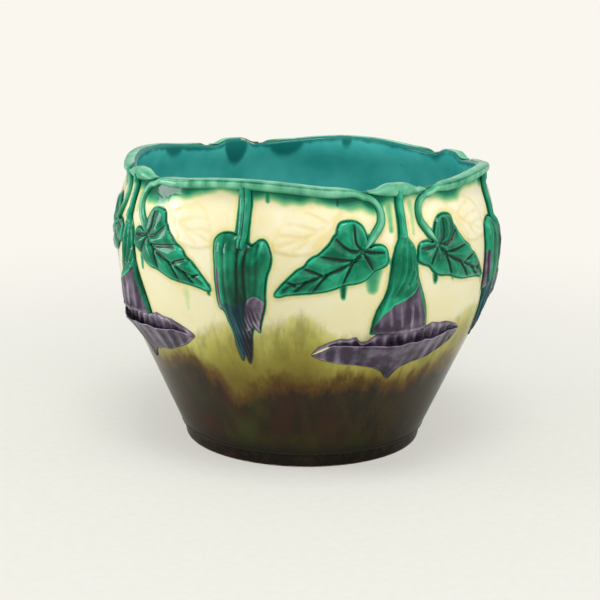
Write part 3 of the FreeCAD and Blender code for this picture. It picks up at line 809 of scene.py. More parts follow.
def drawTrumpet(shareAcross, shareUp):
    tucked, bottom = trumpet["tucked"], trumpet["bottom"]
    under = unit((tucked - shareUp) / tucked)
    height = between(bottom, trumpet["top"], unit((shareUp - tucked) / (1 - tucked)))
    left, right, relief = alongTrumpet(height)
    side = 2 * shareAcross - 1
    across = (left + right) / 2 + side * (right - left) / 2
    body = np.maximum(1 - np.abs(side) ** 2.2, 0) ** 0.72
    inset = 1 - np.abs(side)
    calyx = smoothStep(-0.8, 0.8, height - calyxLine(across))
    folds = np.zeros(across.shape)
    for line, depth, width in trumpetFolds:
        gap, _, share, _, _ = strokeField(across, height, smoothLine(line, 5))
        run = smoothStep(0, 0.1, share) * smoothStep(1, 0.85, share)
        folds = folds - depth * run * (bell(gap, 0, width) - 0.18 * bell(gap, 2.2 * width, width))
    folds = folds * smoothStep(0, 0.3, inset)
    ribs = np.cos((across + 0.12 * (height - bottom)) * math.tau / 7.5)
    ribs = ribs * smoothStep(137, 126, height) * smoothStep(0, 0.3, inset)
    ribs = ribs + 1.6 * bell(across - 6.4 - 0.04 * (height - bottom), 0, 1.1) * smoothStep(134, 126, height)
    stand = relief * body + folds * calyx + trumpet["rib"] * ribs * (1 - calyx)
    rise = trumpet["calyxRise"] + trumpet["calyxStep"] * smoothStep(149, 139, height)
    stand = stand + rise * calyx * smoothStep(0, 0.25, inset) * smoothStep(176, 166, height)
    stand = stand + 0.5 * bell(height - bottom, 1.2, 1.1) * body  # rolled mouth
    stand = stand * (1 - under) - buried * np.maximum(under, 1 - smoothStep(0, 0.03, inset))
    height = height - 1.0 * np.sin(under * math.pi) * body
    hollow = smoothed(stand, 12) - stand
    fromCalyx = np.abs(height - calyxLine(across) - 0.8)
    # a pale line along the calyx's raised lower edge, on its left part only: glaze breaking thin over the
    # edge, and a painted highlight
    lip = np.exp(-fromCalyx / 0.9) * (across < 9) * smoothStep(144, 136, height)
    # painted highlight: a pale stripe down the left side of the calyx, the side that faces the light
    flank = bell(inset, 0.20, 0.07) * (side < 0) * smoothStep(150, 135, height) * calyx
    right = np.interp(height, fluteRight[:, 0], fluteRight[:, 1])
    streak = unit(ribs - 0.5) * (1 - calyx) * smoothStep(112, 118, height)
    fields = {
        # the pool field here is also painted shade on the rows tucked in under the mouth
        "pool": unit(hollow / 0.4) + 0.8 * (1 - smoothStep(0.02, 0.2, inset)) + under + 0.12,
        "thin": unit(unit(-hollow / 0.4) + lip + 0.9 * flank + 0.5 * streak),
        "purple": (1 - calyx) * smoothStep(right + 2.5, right - 2.5, across),
    }
    return across, height, stand, fields


def closedSheet(name, columns, rows, draw):
    # a sheet whose four sides already run into the wall
    piece, shareAcross, shareUp = newGrid(name, columns, rows)
    placeSpots(piece, *draw(shareAcross, shareUp))
    applyModifier(piece, "SOLIDIFY", thickness=sheetThickness, offset=-1, use_even_offset=False)
    bpy.ops.object.shade_smooth()
    return piece


blossomGlaze = makeGlaze("blossomGlaze", "green", "purple", "purple")
flute = closedSheet("blossomTube", trumpet["columns"], trumpet["rows"], drawTrumpet)
repeatRound(flute, 0, "blossom_tube", blossomGlaze)

mouth = {"relief": 8.0, "thin": 1.4, "columns": 330, "steps": 5, "look": math.tan(math.radians(cameraDip))}
mouthLow = np.array([
    (-62, 94.8), (-56, 92.4), (-51.1, 90.8), (-40.4, 88.4), (-27.6, 86.6), (-14, 83.8), (-8, 81.4),
    (-3.8, 78.7), (-0.5, 75), (2.4, 72.4), (4.4, 74), (6.4, 77), (11.8, 81.2), (22.7, 84), (34.9, 85.4),
    (46.4, 89.4), (59, 94.2), (68.5, 101.2),
])
mouthFront = np.array([
    (-62, 95.2), (-58.2, 97.6), (-52, 100.6), (-46.4, 102), (-37.5, 101.6), (-26.9, 100.7), (-17.7, 100.3),
    (-7.9, 99.1), (2.2, 98.9), (9, 100.4), (15, 99.6), (23.5, 100.8), (30, 99.8), (36.1, 100.4),
    (43, 101.4), (50.5, 103), (59, 102.4), (68.5, 101.9),
])
mouthBack = np.array([
    (-62, 95.6), (-57, 101), (-49.3, 104.8), (-42.3, 106.8), (-36, 106.2), (-30.9, 107.8), (-27.3, 103.6),
    (-22, 104), (-16, 108.3), (0, 109.6), (17.2, 109.4), (26.4, 110.2), (31.6, 112), (39, 110.6),
    (47.3, 110.4), (54, 108.6), (60.8, 106.3), (68.5, 102.4),
])
mouthRelief = np.array([
    (-62, 0.0), (-53, 0.12), (-44, 0.17), (-33, 0.32), (-21, 0.66), (-9, 1), (11, 1), (20, 0.8), (31, 0.5),
    (43, 0.26), (56, 0.14), (68.5, 0.0),
])


def tableAt(across, table, passes=3):
    return smoothed(np.interp(across, table[:, 0], table[:, 1]), passes)


def splineRows(shareUp, points):
    # a curve through points that are themselves fields, the row's share choosing the place
    spans = len(points) - 1
    place = np.clip(shareUp * spans, 0, spans - 1e-6)
    index = place.astype(int)
    share = place - index
    stack = np.stack([points[0]] + points + [points[-1]])
    pick = [np.take_along_axis(stack, (index + offset)[None], 0)[0] for offset in range(4)]
    return splineSpot(*pick, share)


def drawMouth(shareAcross, shareUp):
    left, right = mouthLow[0, 0], mouthLow[-1, 0]
    across = between(left, right, shareAcross)
    ends = smoothStep(0, 0.03, np.minimum(shareAcross, 1 - shareAcross))
    relief = tableAt(across, mouthRelief, 8)
    out = between(mouth["thin"], mouth["relief"], relief) * ends
    low, back = tableAt(across, mouthLow, 2), tableAt(across, mouthBack)
    front = tableAt(across, mouthFront) + out * mouth["look"] * 0.95
    wing = smoothStep(14, 42, np.abs(across))
    strength = 0.35 + 0.65 * relief
    pleat = np.cos(across * math.tau / 10.5 + 0.9 * np.sin(across / 11))
    pleat = pleat * (0.3 + 0.5 * wing) * strength * ends
    ruffle = np.cos(across * math.tau / 8.2 + 1.1) * strength * ends
    face = front - low
    drop = 0.35 + 0.65 * relief
    seat = -buried + 0 * low
    # the rows go up the front, over the edge, down the trough, up the back and home inside the wall
    stands = [
        seat, 1.0 * ends, 0.7 * ends, 0.34 * out + 0.5 * pleat, 0.68 * out + 0.7 * pleat,
        out + 0.4 * pleat, out + 0.1 + 0.3 * pleat, out - 0.8 * drop * ends, out - 1.5 * drop * ends,
        0.5 * out + 0.5 * ruffle, 0.24 * out + 0.8 * ruffle + 0.4 * ends, 1.8 * ends + 0.4 * ruffle,
        seat, seat - 1.0, seat,
    ]
    heights = [
        low - 0.3, low + 0.1, low + 1.0 * ends, low + 0.38 * face, low + 0.72 * face,
        front - 0.9 * ends, front + 0.1, front + 0.4 * ends, front - 0.8 * drop * ends, front - 2.6 * relief,
        (front - 1.5 * relief + back) / 2, back - 1.0 * ends, back + 0.2, (low + back) / 2, low - 0.3,
    ]
    stand, height = splineRows(shareUp, stands), splineRows(shareUp, heights)
    row = shareUp * (len(stands) - 1)
    edge = bell(row, 6.2, 0.75) + 0.8 * bell(row, 1.2, 0.5) + 0.5 * bell(row, 11, 0.7)
    # glaze pooled in the trough, and painted shade, deepest in the middle under the trumpet
    throatPoolAndShade = bell(row, 9.2, 1.1)
    crests = 0.6 * unit(ruffle) * bell(row, 10.6, 1.2)
    dusk = 0.25 + 0.55 * softNoise(across, height, 27, 18)
    pool = throatPoolAndShade * (0.25 + 0.4 * smoothStep(45, 15, np.abs(across))) - 0.4 * pleat * (row < 5) + dusk
    thin = edge * (0.9 + 0.3 * softNoise(across, height, 9, 8)) + (0.3 + 0.6 * wing) * pleat * (row < 6)
    thin = thin + crests
    # a cream patch on the mouth's left tip: cream glaze, and a painted highlight where the tip turns toward
    # the light
    cream = smoothStep(-44, -56, across) * smoothStep(4.6, 5.6, row) * smoothStep(11.5, 10, row)
    fields = {"pool": unit(pool), "thin": unit(thin), "cream": cream}
    return across, height, stand, fields


purpleGlaze = makeGlaze("purpleGlaze", "purple", "cream", "cream")
ruffles = roundSheet("blossomLip", mouth["columns"], 14 * mouth["steps"], drawMouth)
repeatRound(ruffles, 0, "blossom_lip", purpleGlaze)
print("blossoms made")

bud = {"step": 0.5, "relief": 6.6}
budEdge = [
    (-10.5, 178.2), (-15.4, 177), (-19.2, 173.5), (-20.3, 168), (-19.6, 160), (-19, 152), (-18.5, 142),
    (-17.6, 132), (-16.2, 126.5), (-12.9, 124.5), (-10.5, 117), (-8, 110), (-6.8, 100), (-4.8, 91),
    (-3.2, 87.6), (-1.6, 91), (-0.3, 93), (0.4, 89.5), (1.7, 86), (3.4, 88), (5.0, 94), (5.9, 101),
    (6.6, 109), (8.2, 114), (10.3, 112.5), (12.3, 110.6), (12.8, 115), (14.2, 121), (16.4, 130),
    (16.6, 139), (17.6, 150), (20.0, 158), (20.4, 164), (18.8, 170), (16.2, 174.2), (12.5, 174.8),
    (9.5, 172.6), (6.6, 171.2), (3, 173.5), (-1, 176.5), (-5.5, 177.8),
]
budFolds = [  # line, depth, width
    ([(-11, 178), (-11.2, 160), (-10, 140), (-7.5, 122), (-4.6, 105), (-3.4, 90)], 0.9, 1.7),
    ([(-1.5, 178), (-1.6, 160), (-1, 140), (-0.4, 120), (0, 104), (0.6, 90)], 1.4, 2.0),
    ([(4.6, 172), (3.2, 160), (3.6, 145), (4.2, 137), (3.6, 122), (3.2, 105)], 1.0, 1.5),
    ([(11.5, 174), (11.3, 160), (11, 145), (10.6, 137)], 0.7, 1.6),
    ([(-16.5, 156), (-15.6, 142), (-13, 128)], 0.7, 0.9),
]
budPetal = [
    (3.4, 112), (3.0, 124), (4.6, 133), (8.5, 137.5), (13, 136.5), (16.6, 131), (14.6, 121), (12.4, 111),
    (8, 114),
]
budOutline = smoothLine(budEdge, 4, closed=True)
petalOutline = smoothLine(budPetal, 5, closed=True)


def drawBud():
    low, high, columns, rows = outlineBox(budOutline, bud["step"])

    def draw(shareAcross, shareUp):
        across = between(low[0], high[0], shareAcross)
        height = between(low[1], high[1], shareUp)
        depth, nearAcross, nearHeight = edgeDepth(across, height, budOutline)
        inner = np.maximum(depth, 0)
        fall = np.interp(height, [86, 100, 120, 140, 170, 178], [0.30, 0.5, 0.8, 1, 1, 0.92])
        stand = bud["relief"] * fall * (1 - np.exp(-inner / (4.2 * fall + 0.4))) ** 0.95
        stand = stand - edgeSink(depth)
        for line, cut, width in budFolds:
            gap, _, share, _, _ = strokeField(across, height, smoothLine(line, 5))
            run = smoothStep(0, 0.08, share) * (1 - 0.4 * share)
            stand = stand - cut * bell(gap, 0, width) * run * smoothStep(0, 2.2, depth)
        petalDepth, _, _ = edgeDepth(across, height, petalOutline)
        petal = smoothStep(-0.4, 0.7, petalDepth)
        stand = stand + 0.6 * petal * smoothStep(0, 1.5, depth) + 0.4 * smoothStep(0, 5, petalDepth)
        fringe = 0.35 * np.cos((across + 0.25 * height) * math.tau / 2.6) * smoothStep(132, 112, height)
        stand = stand + fringe * smoothStep(0.3, 1.6, depth)
        stand = stand + 0.22 * softNoise(across, height, 15, 9) * smoothStep(0, 2, depth)
        flank = smoothStep(158, 150, height) * smoothStep(-12.5, -15.5, across)
        tail = smoothStep(128, 108, height) * 0.62
        purple = unit(np.maximum(np.maximum(petal, flank), tail * (across > 0)))
        teal = smoothStep(140, 122, height) * (1 - petal)
        fields = reliefFields(stand, depth, purple=purple, teal=teal)
        middle = bell(across, 1.5, 9) * (0.45 + 0.55 * smoothStep(172, 140, height))
        clouds = 0.3 * petal * softNoise(across, height, 9, 16)
        fields["pool"] = fields["pool"] + 0.75 * middle * (1 - petal) + 0.2 + clouds
        return across, height, stand, depth, nearAcross, nearHeight, fields

    return columns, rows, draw


budGlaze = makeGlaze("budGlaze", "green", "teal", "teal", "purple", "purple")
budSheet = reliefSheet("bud", *drawBud())
repeatRound(budSheet, math.pi / 4, "bud", budGlaze)
print("buds made")

# the profile is drawn once and spun, then the rim is waved and the faint leaves are raised
pot = {
    "columns": 580, "floor": 16.0, "corner": 9.0, "lipHeight": 3.0, "ghostRise": 0.55,
    "bead": 0.55, "beadHeight": 11.2,  # the turned bead just above the foot
    "waveStart": 188.0,  # above this the wall is drawn up or down to the waved rim
    "bareBelow": 10.6, "glazedAbove": 12.5,  # the clay under the pot, and the inside
    "reliefAbove": 60.0, "wobble": 0.25,  # a thrown wall is never dead true
}


def potProfile():
    joint, thickness = wall["jointRadius"], wall["thickness"]
    spots = [(0, 10.4), (30, 10.2), (60, 9.6), (80, 9.0)]
    spots += [(joint - 1.4, 9.0), (joint - 0.4, 9.15), (joint + 0.1, 9.8)]
    low = [np.linspace(10.4, 13.6, 7), np.linspace(18, 66, 9)]
    for height in np.concatenate(low + [np.arange(70, 150, 2.1), np.arange(151, 207, 1.3)]):
        bead = pot["bead"] * math.exp(-((height - pot["beadHeight"]) / 0.7) ** 2)
        spots.append((float(wallRadius(height)) + bead, height))
    lipHigh = wall["rimHeight"] - wall["lipStep"]
    outer = float(wallRadius(lipHigh))
    middle, half = outer - thickness / 2, thickness / 2
    for turn in np.linspace(0, math.pi, 15):
        lip = pot["lipHeight"] * math.sin(turn)
        spots.append((middle + half * math.cos(turn), lipHigh - pot["lipHeight"] + lip))
    for height in np.concatenate([np.arange(206, 168, -3.0), np.arange(166, 60, -7.5), [52, 44, 37, 31, 27]]):
        spots.append((float(wallRadius(height)) - thickness, height))
    corner = pot["corner"]
    radius = float(wallRadius(pot["floor"] + corner)) - thickness
    for turn in np.linspace(0.25, math.pi / 2, 6):
        spots.append((radius - corner * math.sin(turn) * 1.25, pot["floor"] + corner * (1 - math.sin(turn))))
    return spots + [(60, 15.9), (40, 15.8), (20, 15.7), (0, 15.7)]


def spinProfile(name, spots, columns):
    mesh = bpy.data.meshes.new(name)
    piece = bpy.data.objects.new(name, mesh)
    bpy.context.collection.objects.link(piece)
    points = [(radius * mm, 0, height * mm) for radius, height in spots]
    mesh.from_pydata(points, [(number, number + 1) for number in range(len(points) - 1)], [])
    bpy.ops.object.select_all(action="DESELECT")
    piece.select_set(True)
    bpy.context.view_layer.objects.active = piece
    bpy.context.tool_settings.mesh_select_mode = (True, False, False)
    bpy.ops.object.mode_set(mode="EDIT")
    bpy.ops.mesh.select_all(action="SELECT")
    bpy.ops.mesh.spin(steps=columns, angle=math.tau, center=(0, 0, 0), axis=(0, 0, 1))
    bpy.ops.mesh.select_all(action="SELECT")
    bpy.ops.mesh.remove_doubles(threshold=5e-6)
    bpy.ops.mesh.normals_make_consistent(inside=False)
    bpy.ops.object.mode_set(mode="OBJECT")
    return piece


# the faint leaf between each green leaf and the bud, glazed over in ivory
ghostEdge = [
    (44, 192.5), (47, 197), (57, 197.6), (67, 196), (75, 193.4), (81, 189), (85.5, 182), (88.2, 175),
    (89.4, 169), (82, 166.4), (74, 165.6), (66, 166.6), (60, 170), (55.5, 176), (51, 183), (46, 189),
]
ghostOutline = smoothLine(ghostEdge, 5, closed=True)
ghostVeins = [smoothLine(line, 5) for line in (
    [(27, 198), (35, 196.8), (40, 194.6), (44, 192.5)],
    [(44, 192.5), (54, 184), (64, 178.6), (75, 174.4), (87.5, 170)],
    [(52, 185.6), (61, 190), (69, 192.6)],
    [(60, 181), (70, 184), (80.5, 185)],
    [(70, 176.4), (78, 177.6), (85, 177.4)],
    [(55, 183), (58, 176), (63, 170)],
    [(66, 178), (70, 172), (76, 167.6)],
)]


def wallFields(across, height):
    # distances in millimetres from each spot of the outer wall to the ornament that is nearest
    local = (across + budAxis) % quarterArc - budAxis
    mirrored = np.abs(local)
    fromBud = local - np.sign(local) * budAxis
    fields = {}
    leafLine = np.column_stack(leafSpot(leafOutline[:, 0], leafOutline[:, 1], 1))
    leafGap = -edgeDepth(mirrored, height, leafLine)[0]
    vineGap = strokeField(mirrored, height, vineHalfLine)[0] - vine["petioleHalf"]
    stemGap = np.maximum(mirrored - stems["blossomStem"]["halfLow"], stems["blossomStem"]["low"] - height)
    budStemGap = np.maximum(np.abs(fromBud) - stems["budStem"]["halfHigh"], 168 - height)
    order = trumpetEdge[::-1]
    left, right = [np.interp(height, order[:, 0], order[:, column]) for column in (1, 2)]
    tubeGap = np.maximum.reduce([left - local, local - right, height - trumpet["top"], 110 - height])
    budGap = -edgeDepth(fromBud, height, budOutline)[0]
    fields["greenGap"] = np.minimum.reduce([leafGap, vineGap, stemGap, budStemGap, tubeGap, budGap])
    lipLine = np.vstack([mouthLow, mouthBack[::-1]])
    fields["purpleGap"] = -edgeDepth(local, height, lipLine)[0]
    rimGap = rimTop(across) - height
    fields["rimGap"] = rimGap
    ghostGap = -edgeDepth(mirrored, height, ghostOutline)[0]
    veinGap = np.minimum.reduce([strokeField(mirrored, height, line)[0] for line in ghostVeins])
    fields["ghostGap"] = np.minimum(np.abs(ghostGap), veinGap)
    hidden = smoothStep(0, 2, fields["greenGap"])
    rise = smoothStep(0.6, -0.6, ghostGap) * pot["ghostRise"]
    rise = rise - 0.4 * bell(veinGap, 0, 0.9) * (ghostGap < 1) + 0.35 * bell(veinGap, 0, 1.3) * (ghostGap > 1)
    return fields, rise * hidden


# runs of green glaze: arc from the blossom's axis, top, bottom, half width, strength
dripLists = [
    [
        (-42.3, 147, 133.5, 3.4, 1.0), (-22, 156, 134, 8.5, 0.74), (28, 154, 139, 4.2, 1.0),
        (46, 146, 139, 4.6, 0.8), (88, 139, 130, 2.4, 0.6), (94.6, 136, 118, 5.0, 0.42),
        (-46, 206, 194, 4.4, 1.0), (-58, 205, 198, 8, 0.8), (-72, 206, 199, 6, 0.7),
        (-8.5, 200, 176, 4.2, 0.55), (9, 198, 174, 3.4, 0.4), (-95, 206, 196, 3.5, 0.8),
    ],
    [
        (-38, 150, 136, 2.6, 0.9), (30, 150, 134, 2.8, 1.0), (-72, 141, 133, 3.0, 0.7),
        (62, 143, 136, 3.4, 0.6), (8, 199, 180, 3.6, 0.5), (52, 206, 196, 7, 0.8),
    ],
    [
        (-29, 150, 132, 3.0, 1.0), (36, 149, 138, 2.8, 0.8), (84, 139, 129, 2.6, 0.8),
        (-8, 198, 182, 3.4, 0.4), (-50, 206, 196, 6, 0.9),
    ],
    [
        (22, 152, 141, 2.8, 0.8), (67.6, 134, 117, 4.6, 0.3), (86, 141, 132, 2.6, 1.0),
        (-33, 149, 137, 2.8, 0.9), (-60, 206, 195, 6, 0.7), (44, 206, 199, 6, 0.8), (70, 206, 200, 9, 0.6),
        (8.5, 198, 178, 3.4, 0.4),
    ],
]
# heights where the ivory turns to olive, and the olive to brown, by degrees as the camera sees the pot
oliveEdge = np.array([
    (-180, 106), (-150, 112), (-120, 103), (-90, 110), (-55, 105), (-38, 96), (-32, 101), (-26, 112),
    (-21, 115), (-16, 108), (-11, 110), (-4, 120), (1, 121), (5, 112), (9, 104), (25, 100), (46, 100),
    (52, 106), (60, 112), (80, 106), (100, 114), (125, 104), (150, 110), (180, 106),
])
brownEdge = np.array([
    (-180, 78), (-140, 70), (-100, 80), (-59, 74), (-46, 84), (-38, 87), (-33, 80), (-30, 75), (-24, 59),
    (-18, 67), (-11, 74), (-4, 78), (9, 75), (14, 80), (22, 75), (33, 76), (42, 78), (52, 79), (90, 68),
    (130, 80), (160, 72), (180, 78),
])
insideRuns = [  # dark runs inside: degrees round the pot, half width in degrees, length
    (180, 6.5, 26), (160, 10, 17), (137, 3.5, 13), (96, 9, 10), (-150, 8, 14), (-95, 6.5, 20), (-60, 5, 12),
    (20, 8, 16),
]


def potFields(across, height):
    fields, rise = wallFields(across, height)
    number = np.floor((across + budAxis) / quarterArc).astype(int) % motifs
    local = (across + budAxis) % quarterArc - budAxis
    runs = np.zeros(across.shape)
    for motif, drips in enumerate(dripLists):
        here = number == motif
        for at, top, bottom, half, strength in drips:
            line = [(at, top), (at + 0.3, bottom + half)]
            gap, _, share, _, _ = strokeField(local[here], height[here], line)
            gap = gap / (1.15 - 0.5 * share)
            runs[here] = np.maximum(runs[here], strength * (1 - smoothStep(half * 0.2, half * 1.35, gap)))
    fields["drips"] = runs
    degrees = np.degrees(across / wall["bellyRadius"]) + cameraTurn
    degrees = (degrees + 180) % 360 - 180
    fields["oliveEdge"] = np.interp(degrees, oliveEdge[:, 0], oliveEdge[:, 1])
    fields["brownEdge"] = np.interp(degrees, brownEdge[:, 0], brownEdge[:, 1])
    shade = np.zeros(across.shape)
    for at, half, length in insideRuns:
        away = (np.degrees(across / wall["bellyRadius"]) - at + 180) % 360 - 180
        below = rimTop(across) - height
        reach = length * (1 - (away / half) ** 2)
        run = smoothStep(reach + 4, reach - 9, below) * smoothStep(1.15, 0.45, np.abs(away / half))
        shade = np.maximum(shade, run)
    fields["shade"] = shade
    return fields, rise


def makePot():
    piece = spinProfile("potWall", potProfile(), pot["columns"])
    mesh = piece.data
    spots = np.empty(len(mesh.vertices) * 3)
    mesh.vertices.foreach_get("co", spots)
    spots = spots.reshape(-1, 3) / mm
    radius, height = np.hypot(spots[:, 0], spots[:, 1]), spots[:, 2]
    across = np.arctan2(spots[:, 0], -spots[:, 1]) * wall["bellyRadius"]
    outer = wallRadius(height)
    inside = smoothStep(outer - 1.6, outer - 5.4, radius) * (height > pot["glazedAbove"])
    under = (height < pot["bareBelow"]) & (radius < outer - 0.5)
    highest = wall["rimHeight"] - wall["lipStep"]
    share = unit((height - pot["waveStart"]) / (highest - pot["waveStart"]))
    waved = height + share * (rimTop(across) - wall["lipStep"] - highest)
    fields, rise = potFields(across, waved)
    onOuter = (radius > outer - 0.4) & (height > pot["reliefAbove"])
    drift = np.where(height > 12, wallRadius(waved) - outer, 0)
    radius = radius + drift + np.where(onOuter, rise, 0)
    wobble = pot["wobble"] * softNoise(across, waved, 120, 31)
    radius = radius + wobble * smoothStep(20, 80, waved) * smoothStep(200, 180, waved)
    angle = across / wall["bellyRadius"]
    spots = np.stack([radius * np.sin(angle), -radius * np.cos(angle), waved], axis=1) * mm
    mesh.vertices.foreach_set("co", spots.reshape(-1))
    fields["inside"] = inside
    fields["under"] = under.astype(float)
    for label, values in fields.items():
        layer = mesh.attributes.new(label, "FLOAT", "POINT")
        layer.data.foreach_set("value", np.clip(values, -40, 240).astype(np.float32))
    mesh.update()
    bpy.ops.object.shade_smooth()
    return piece


def makePotGlaze():
    material, tree, coords, shader = newMaterial("potGlaze")
    height = heightField(tree, coords)
    broad = noise(tree, coords, 28, 3)
    wide = noise(tree, coords, 26, 2, 0.5, stretch=(1, 1, 0.4), shift=(0.3, 0.1, 0))
    cloud = noise(tree, coords, 75, 4, 0.6)
    streak = noise(tree, coords, 95, 4, 0.62, stretch=(1, 1, 0.16))
    fineStreak = noise(tree, coords, 420, 3, 0.6, stretch=(1, 1, 0.10))
    fine = noise(tree, coords, 600, 3)
    patches = noise(tree, coords, 22, 2, 0.5, stretch=(1, 1, 0.45), shift=(0.7, 0.4, 0.1))
    runs = noise(tree, coords, 34, 2, 0.5, stretch=(1, 1, 0.35), shift=(0.2, 0.9, 0.4))

    # ivory above, with its yellow pooled against the relief
    ivory = mottle(tree, broad, 0.36, 0.66, (249, 241, 208), (245, 233, 186))
    ivory = tint(tree, ivory, height, (165.0, 118.0, 0.0, 0.55), (246, 236, 186))
    ivory = tint(tree, ivory, cloud, (0.56, 0.76, 0.0, 0.35), (240, 222, 152))
    greenGap = readField(tree, "greenGap")
    ragged = swing(tree, cloud, 2.4)
    near = plus(tree, greenGap, ragged)
    pooled = times(tree, remap(tree, near, 4.5, 1.4, 0.0, 0.8), remap(tree, streak, 0.35, 0.6, 0.45, 1.0))
    ivory = mixColour(tree, pooled, ivory, colour(234, 216, 128))
    ghost = remap(tree, readField(tree, "ghostGap"), 2.6, 0.2)
    ghost = times(tree, ghost, remap(tree, cloud, 0.34, 0.62, 0.05, 0.5))
    ivory = mixColour(tree, ghost, ivory, colour(238, 214, 134))

    # olive and brown below, run together in streaks
    drop = minus(tree, height, readField(tree, "oliveEdge"))
    sunk = minus(tree, height, readField(tree, "brownEdge"))
    ragging = ((wide, 16.0, 22.0), (streak, 12.0, 24.0), (fineStreak, 4.0, 8.0), (cloud, 14.0, 10.0))
    for pattern, reach, lowReach in ragging:
        centred = minus(tree, pattern, 0.5)
        drop = plus(tree, drop, times(tree, centred, reach))
        sunk = plus(tree, sunk, times(tree, centred, lowReach))
    olive = [
        (0.0, (116, 100, 30)), (0.4, (154, 144, 58)), (0.7, (190, 184, 94)), (0.88, (220, 212, 134)),
        (1.0, (246, 238, 190)),
    ]
    low = colourRamp(tree, remap(tree, drop, -42.0, 7.0, smooth=False), olive)
    low = tint(tree, low, streak, (0.46, 0.7, 0.0, 0.5), (108, 98, 30))
    brown = mottle(tree, streak, 0.35, 0.65, (32, 26, 5), (52, 36, 5))
    brown = tint(tree, brown, patches, (0.48, 0.66, 0.0, 0.85), (54, 58, 8))
    brown = tint(tree, brown, runs, (0.50, 0.68, 0.0, 0.8), (54, 26, 8))
    brown = tint(tree, brown, height, (26.0, 10.0, 0.0, 0.8), (22, 17, 6))
    brown = tint(tree, brown, sunk, (-18.0, -3.0, 0.0, 0.75), (104, 72, 12))
    low = mixColour(tree, remap(tree, sunk, 6.0, -7.0), low, brown)
    tone = mixColour(tree, remap(tree, drop, 0.0, 14.0), low, ivory)

    # green that has run off the relief and the rim; the green ring at the foot of the relief is pooled glaze
    # and partly painted shadow
    line = remap(tree, plus(tree, greenGap, times(tree, ragged, 0.5)), 1.7, 0.1, 0.0, 0.85)
    patch = swing(tree, wide, 34.0)
    rimGap = readField(tree, "rimGap")
    wash = remap(tree, plus(tree, rimGap, plus(tree, ragged, patch)), 17.0, 4.5, 0.0, 0.9)
    wash = times(tree, wash, remap(tree, rimGap, 24.0, 15.0))
    drips = plus(tree, readField(tree, "drips"), times(tree, ragged, 0.13))
    drips = remap(tree, drips, 0.12, 1.0, 0.0, 0.98, smooth=False)
    green = larger(tree, larger(tree, line, wash), drips)
    flow = [
        (0.0, (242, 234, 182)), (0.22, (212, 224, 158)), (0.46, (122, 190, 134)), (0.72, (24, 144, 102)),
        (1.0, (0, 66, 46)),
    ]
    onIvory = remap(tree, drop, -14.0, 4.0)
    cover = times(tree, remap(tree, green, 0.02, 0.3), onIvory)
    tone = mixColour(tree, cover, tone, colourRamp(tree, green, flow))

    # dark brown rims the purple mouths, and the green relief where it sits below the ivory
    purpleGap = plus(tree, readField(tree, "purpleGap"), times(tree, ragged, 0.4))
    greenSeat = times(tree, remap(tree, greenGap, 1.3, 0.3, 0.0, 0.7), minus(tree, 1.0, onIvory))
    seat = larger(tree, remap(tree, purpleGap, 1.1, 0.3, 0.0, 0.8), greenSeat)
    tone = mixColour(tree, seat, tone, colour(46, 30, 22))

    # the inside, in teal, dark where it has run down from the rim
    curtain = noise(tree, coords, 60, 3, 0.6, stretch=(1, 1, 0.35))
    below = plus(tree, rimGap, swing(tree, curtain, -9.0))
    shade = plus(tree, readField(tree, "shade"), swing(tree, curtain, 0.35))
    teal = mottle(tree, broad, 0.3, 0.7, (60, 176, 170), (86, 198, 190))
    dark = larger(tree, remap(tree, below, 6.5, 3.0, 0.0, 0.8), remap(tree, shade, 0.12, 0.95, 0.0, 0.85))
    teal = mixColour(tree, dark, teal, colour(0, 100, 92))
    teal = tint(tree, teal, height, (40.0, 18.0, 0.0, 0.5), (20, 120, 116))
    tone = mixColour(tree, readField(tree, "inside"), tone, teal)

    # bare clay under the pot, and where the rim is chipped
    clay = mixColour(tree, cloud, colour(206, 184, 150), colour(168, 138, 104))
    tone = mixColour(tree, readField(tree, "under"), tone, clay)
    top = remap(tree, rimGap, 2.6, 1.6)
    chip = times(tree, top, remap(tree, cloud, 0.64, 0.70, 0.0, 0.9))
    tone = mixColour(tree, chip, tone, colour(226, 184, 150))
    speck = useGroup(tree, glazeSpecks, {"Vector": coords, "Scale": 95.0})
    tone = mixColour(tree, times(tree, speck.outputs[0], 0.7), tone, colour(96, 66, 34))
    rough = remap(tree, fine, 0.3, 0.7, 0.08, 0.16)
    rough = larger(tree, rough, times(tree, readField(tree, "under"), 0.8))
    ripple = plus(tree, broad, times(tree, cloud, 0.35))
    finishShader(tree, shader, tone, rough, ripple, 0.3, 0.0012)
    return material


potPiece = makePot()
potPiece.data.materials.append(makePotGlaze())
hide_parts("pot_body")
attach(potPiece, "root")
print("pot made")

foot = {"outer": 89.5, "inner": 76.5, "height": 9.0, "flare": 1.1, "columns": 360}


def makeFoot():
    outer, inner, high, flare = foot["outer"], foot["inner"], foot["height"], foot["flare"]
    spots = [(inner + 1.2, 0), (inner + 5, 0), (outer - 5, 0), (outer - 1.6, 0)]
    spots += [(outer - 0.5, 0.35), (outer, 1.2)]
    spots += [(outer + flare * share, high * share) for share in (0.25, 0.4, 0.55, 0.7, 0.85)]
    spots += [(outer + flare, high), (outer - 4, high), (inner + 4, high), (inner, high - 0.3)]
    spots += [(inner - 0.1, high * 0.6), (inner, high * 0.3), (inner + 0.3, 0.8), (inner + 1.2, 0)]
    piece = spinProfile("footBand", spots, foot["columns"])
    bpy.ops.object.shade_smooth_by_angle(angle=math.radians(50))
    return piece


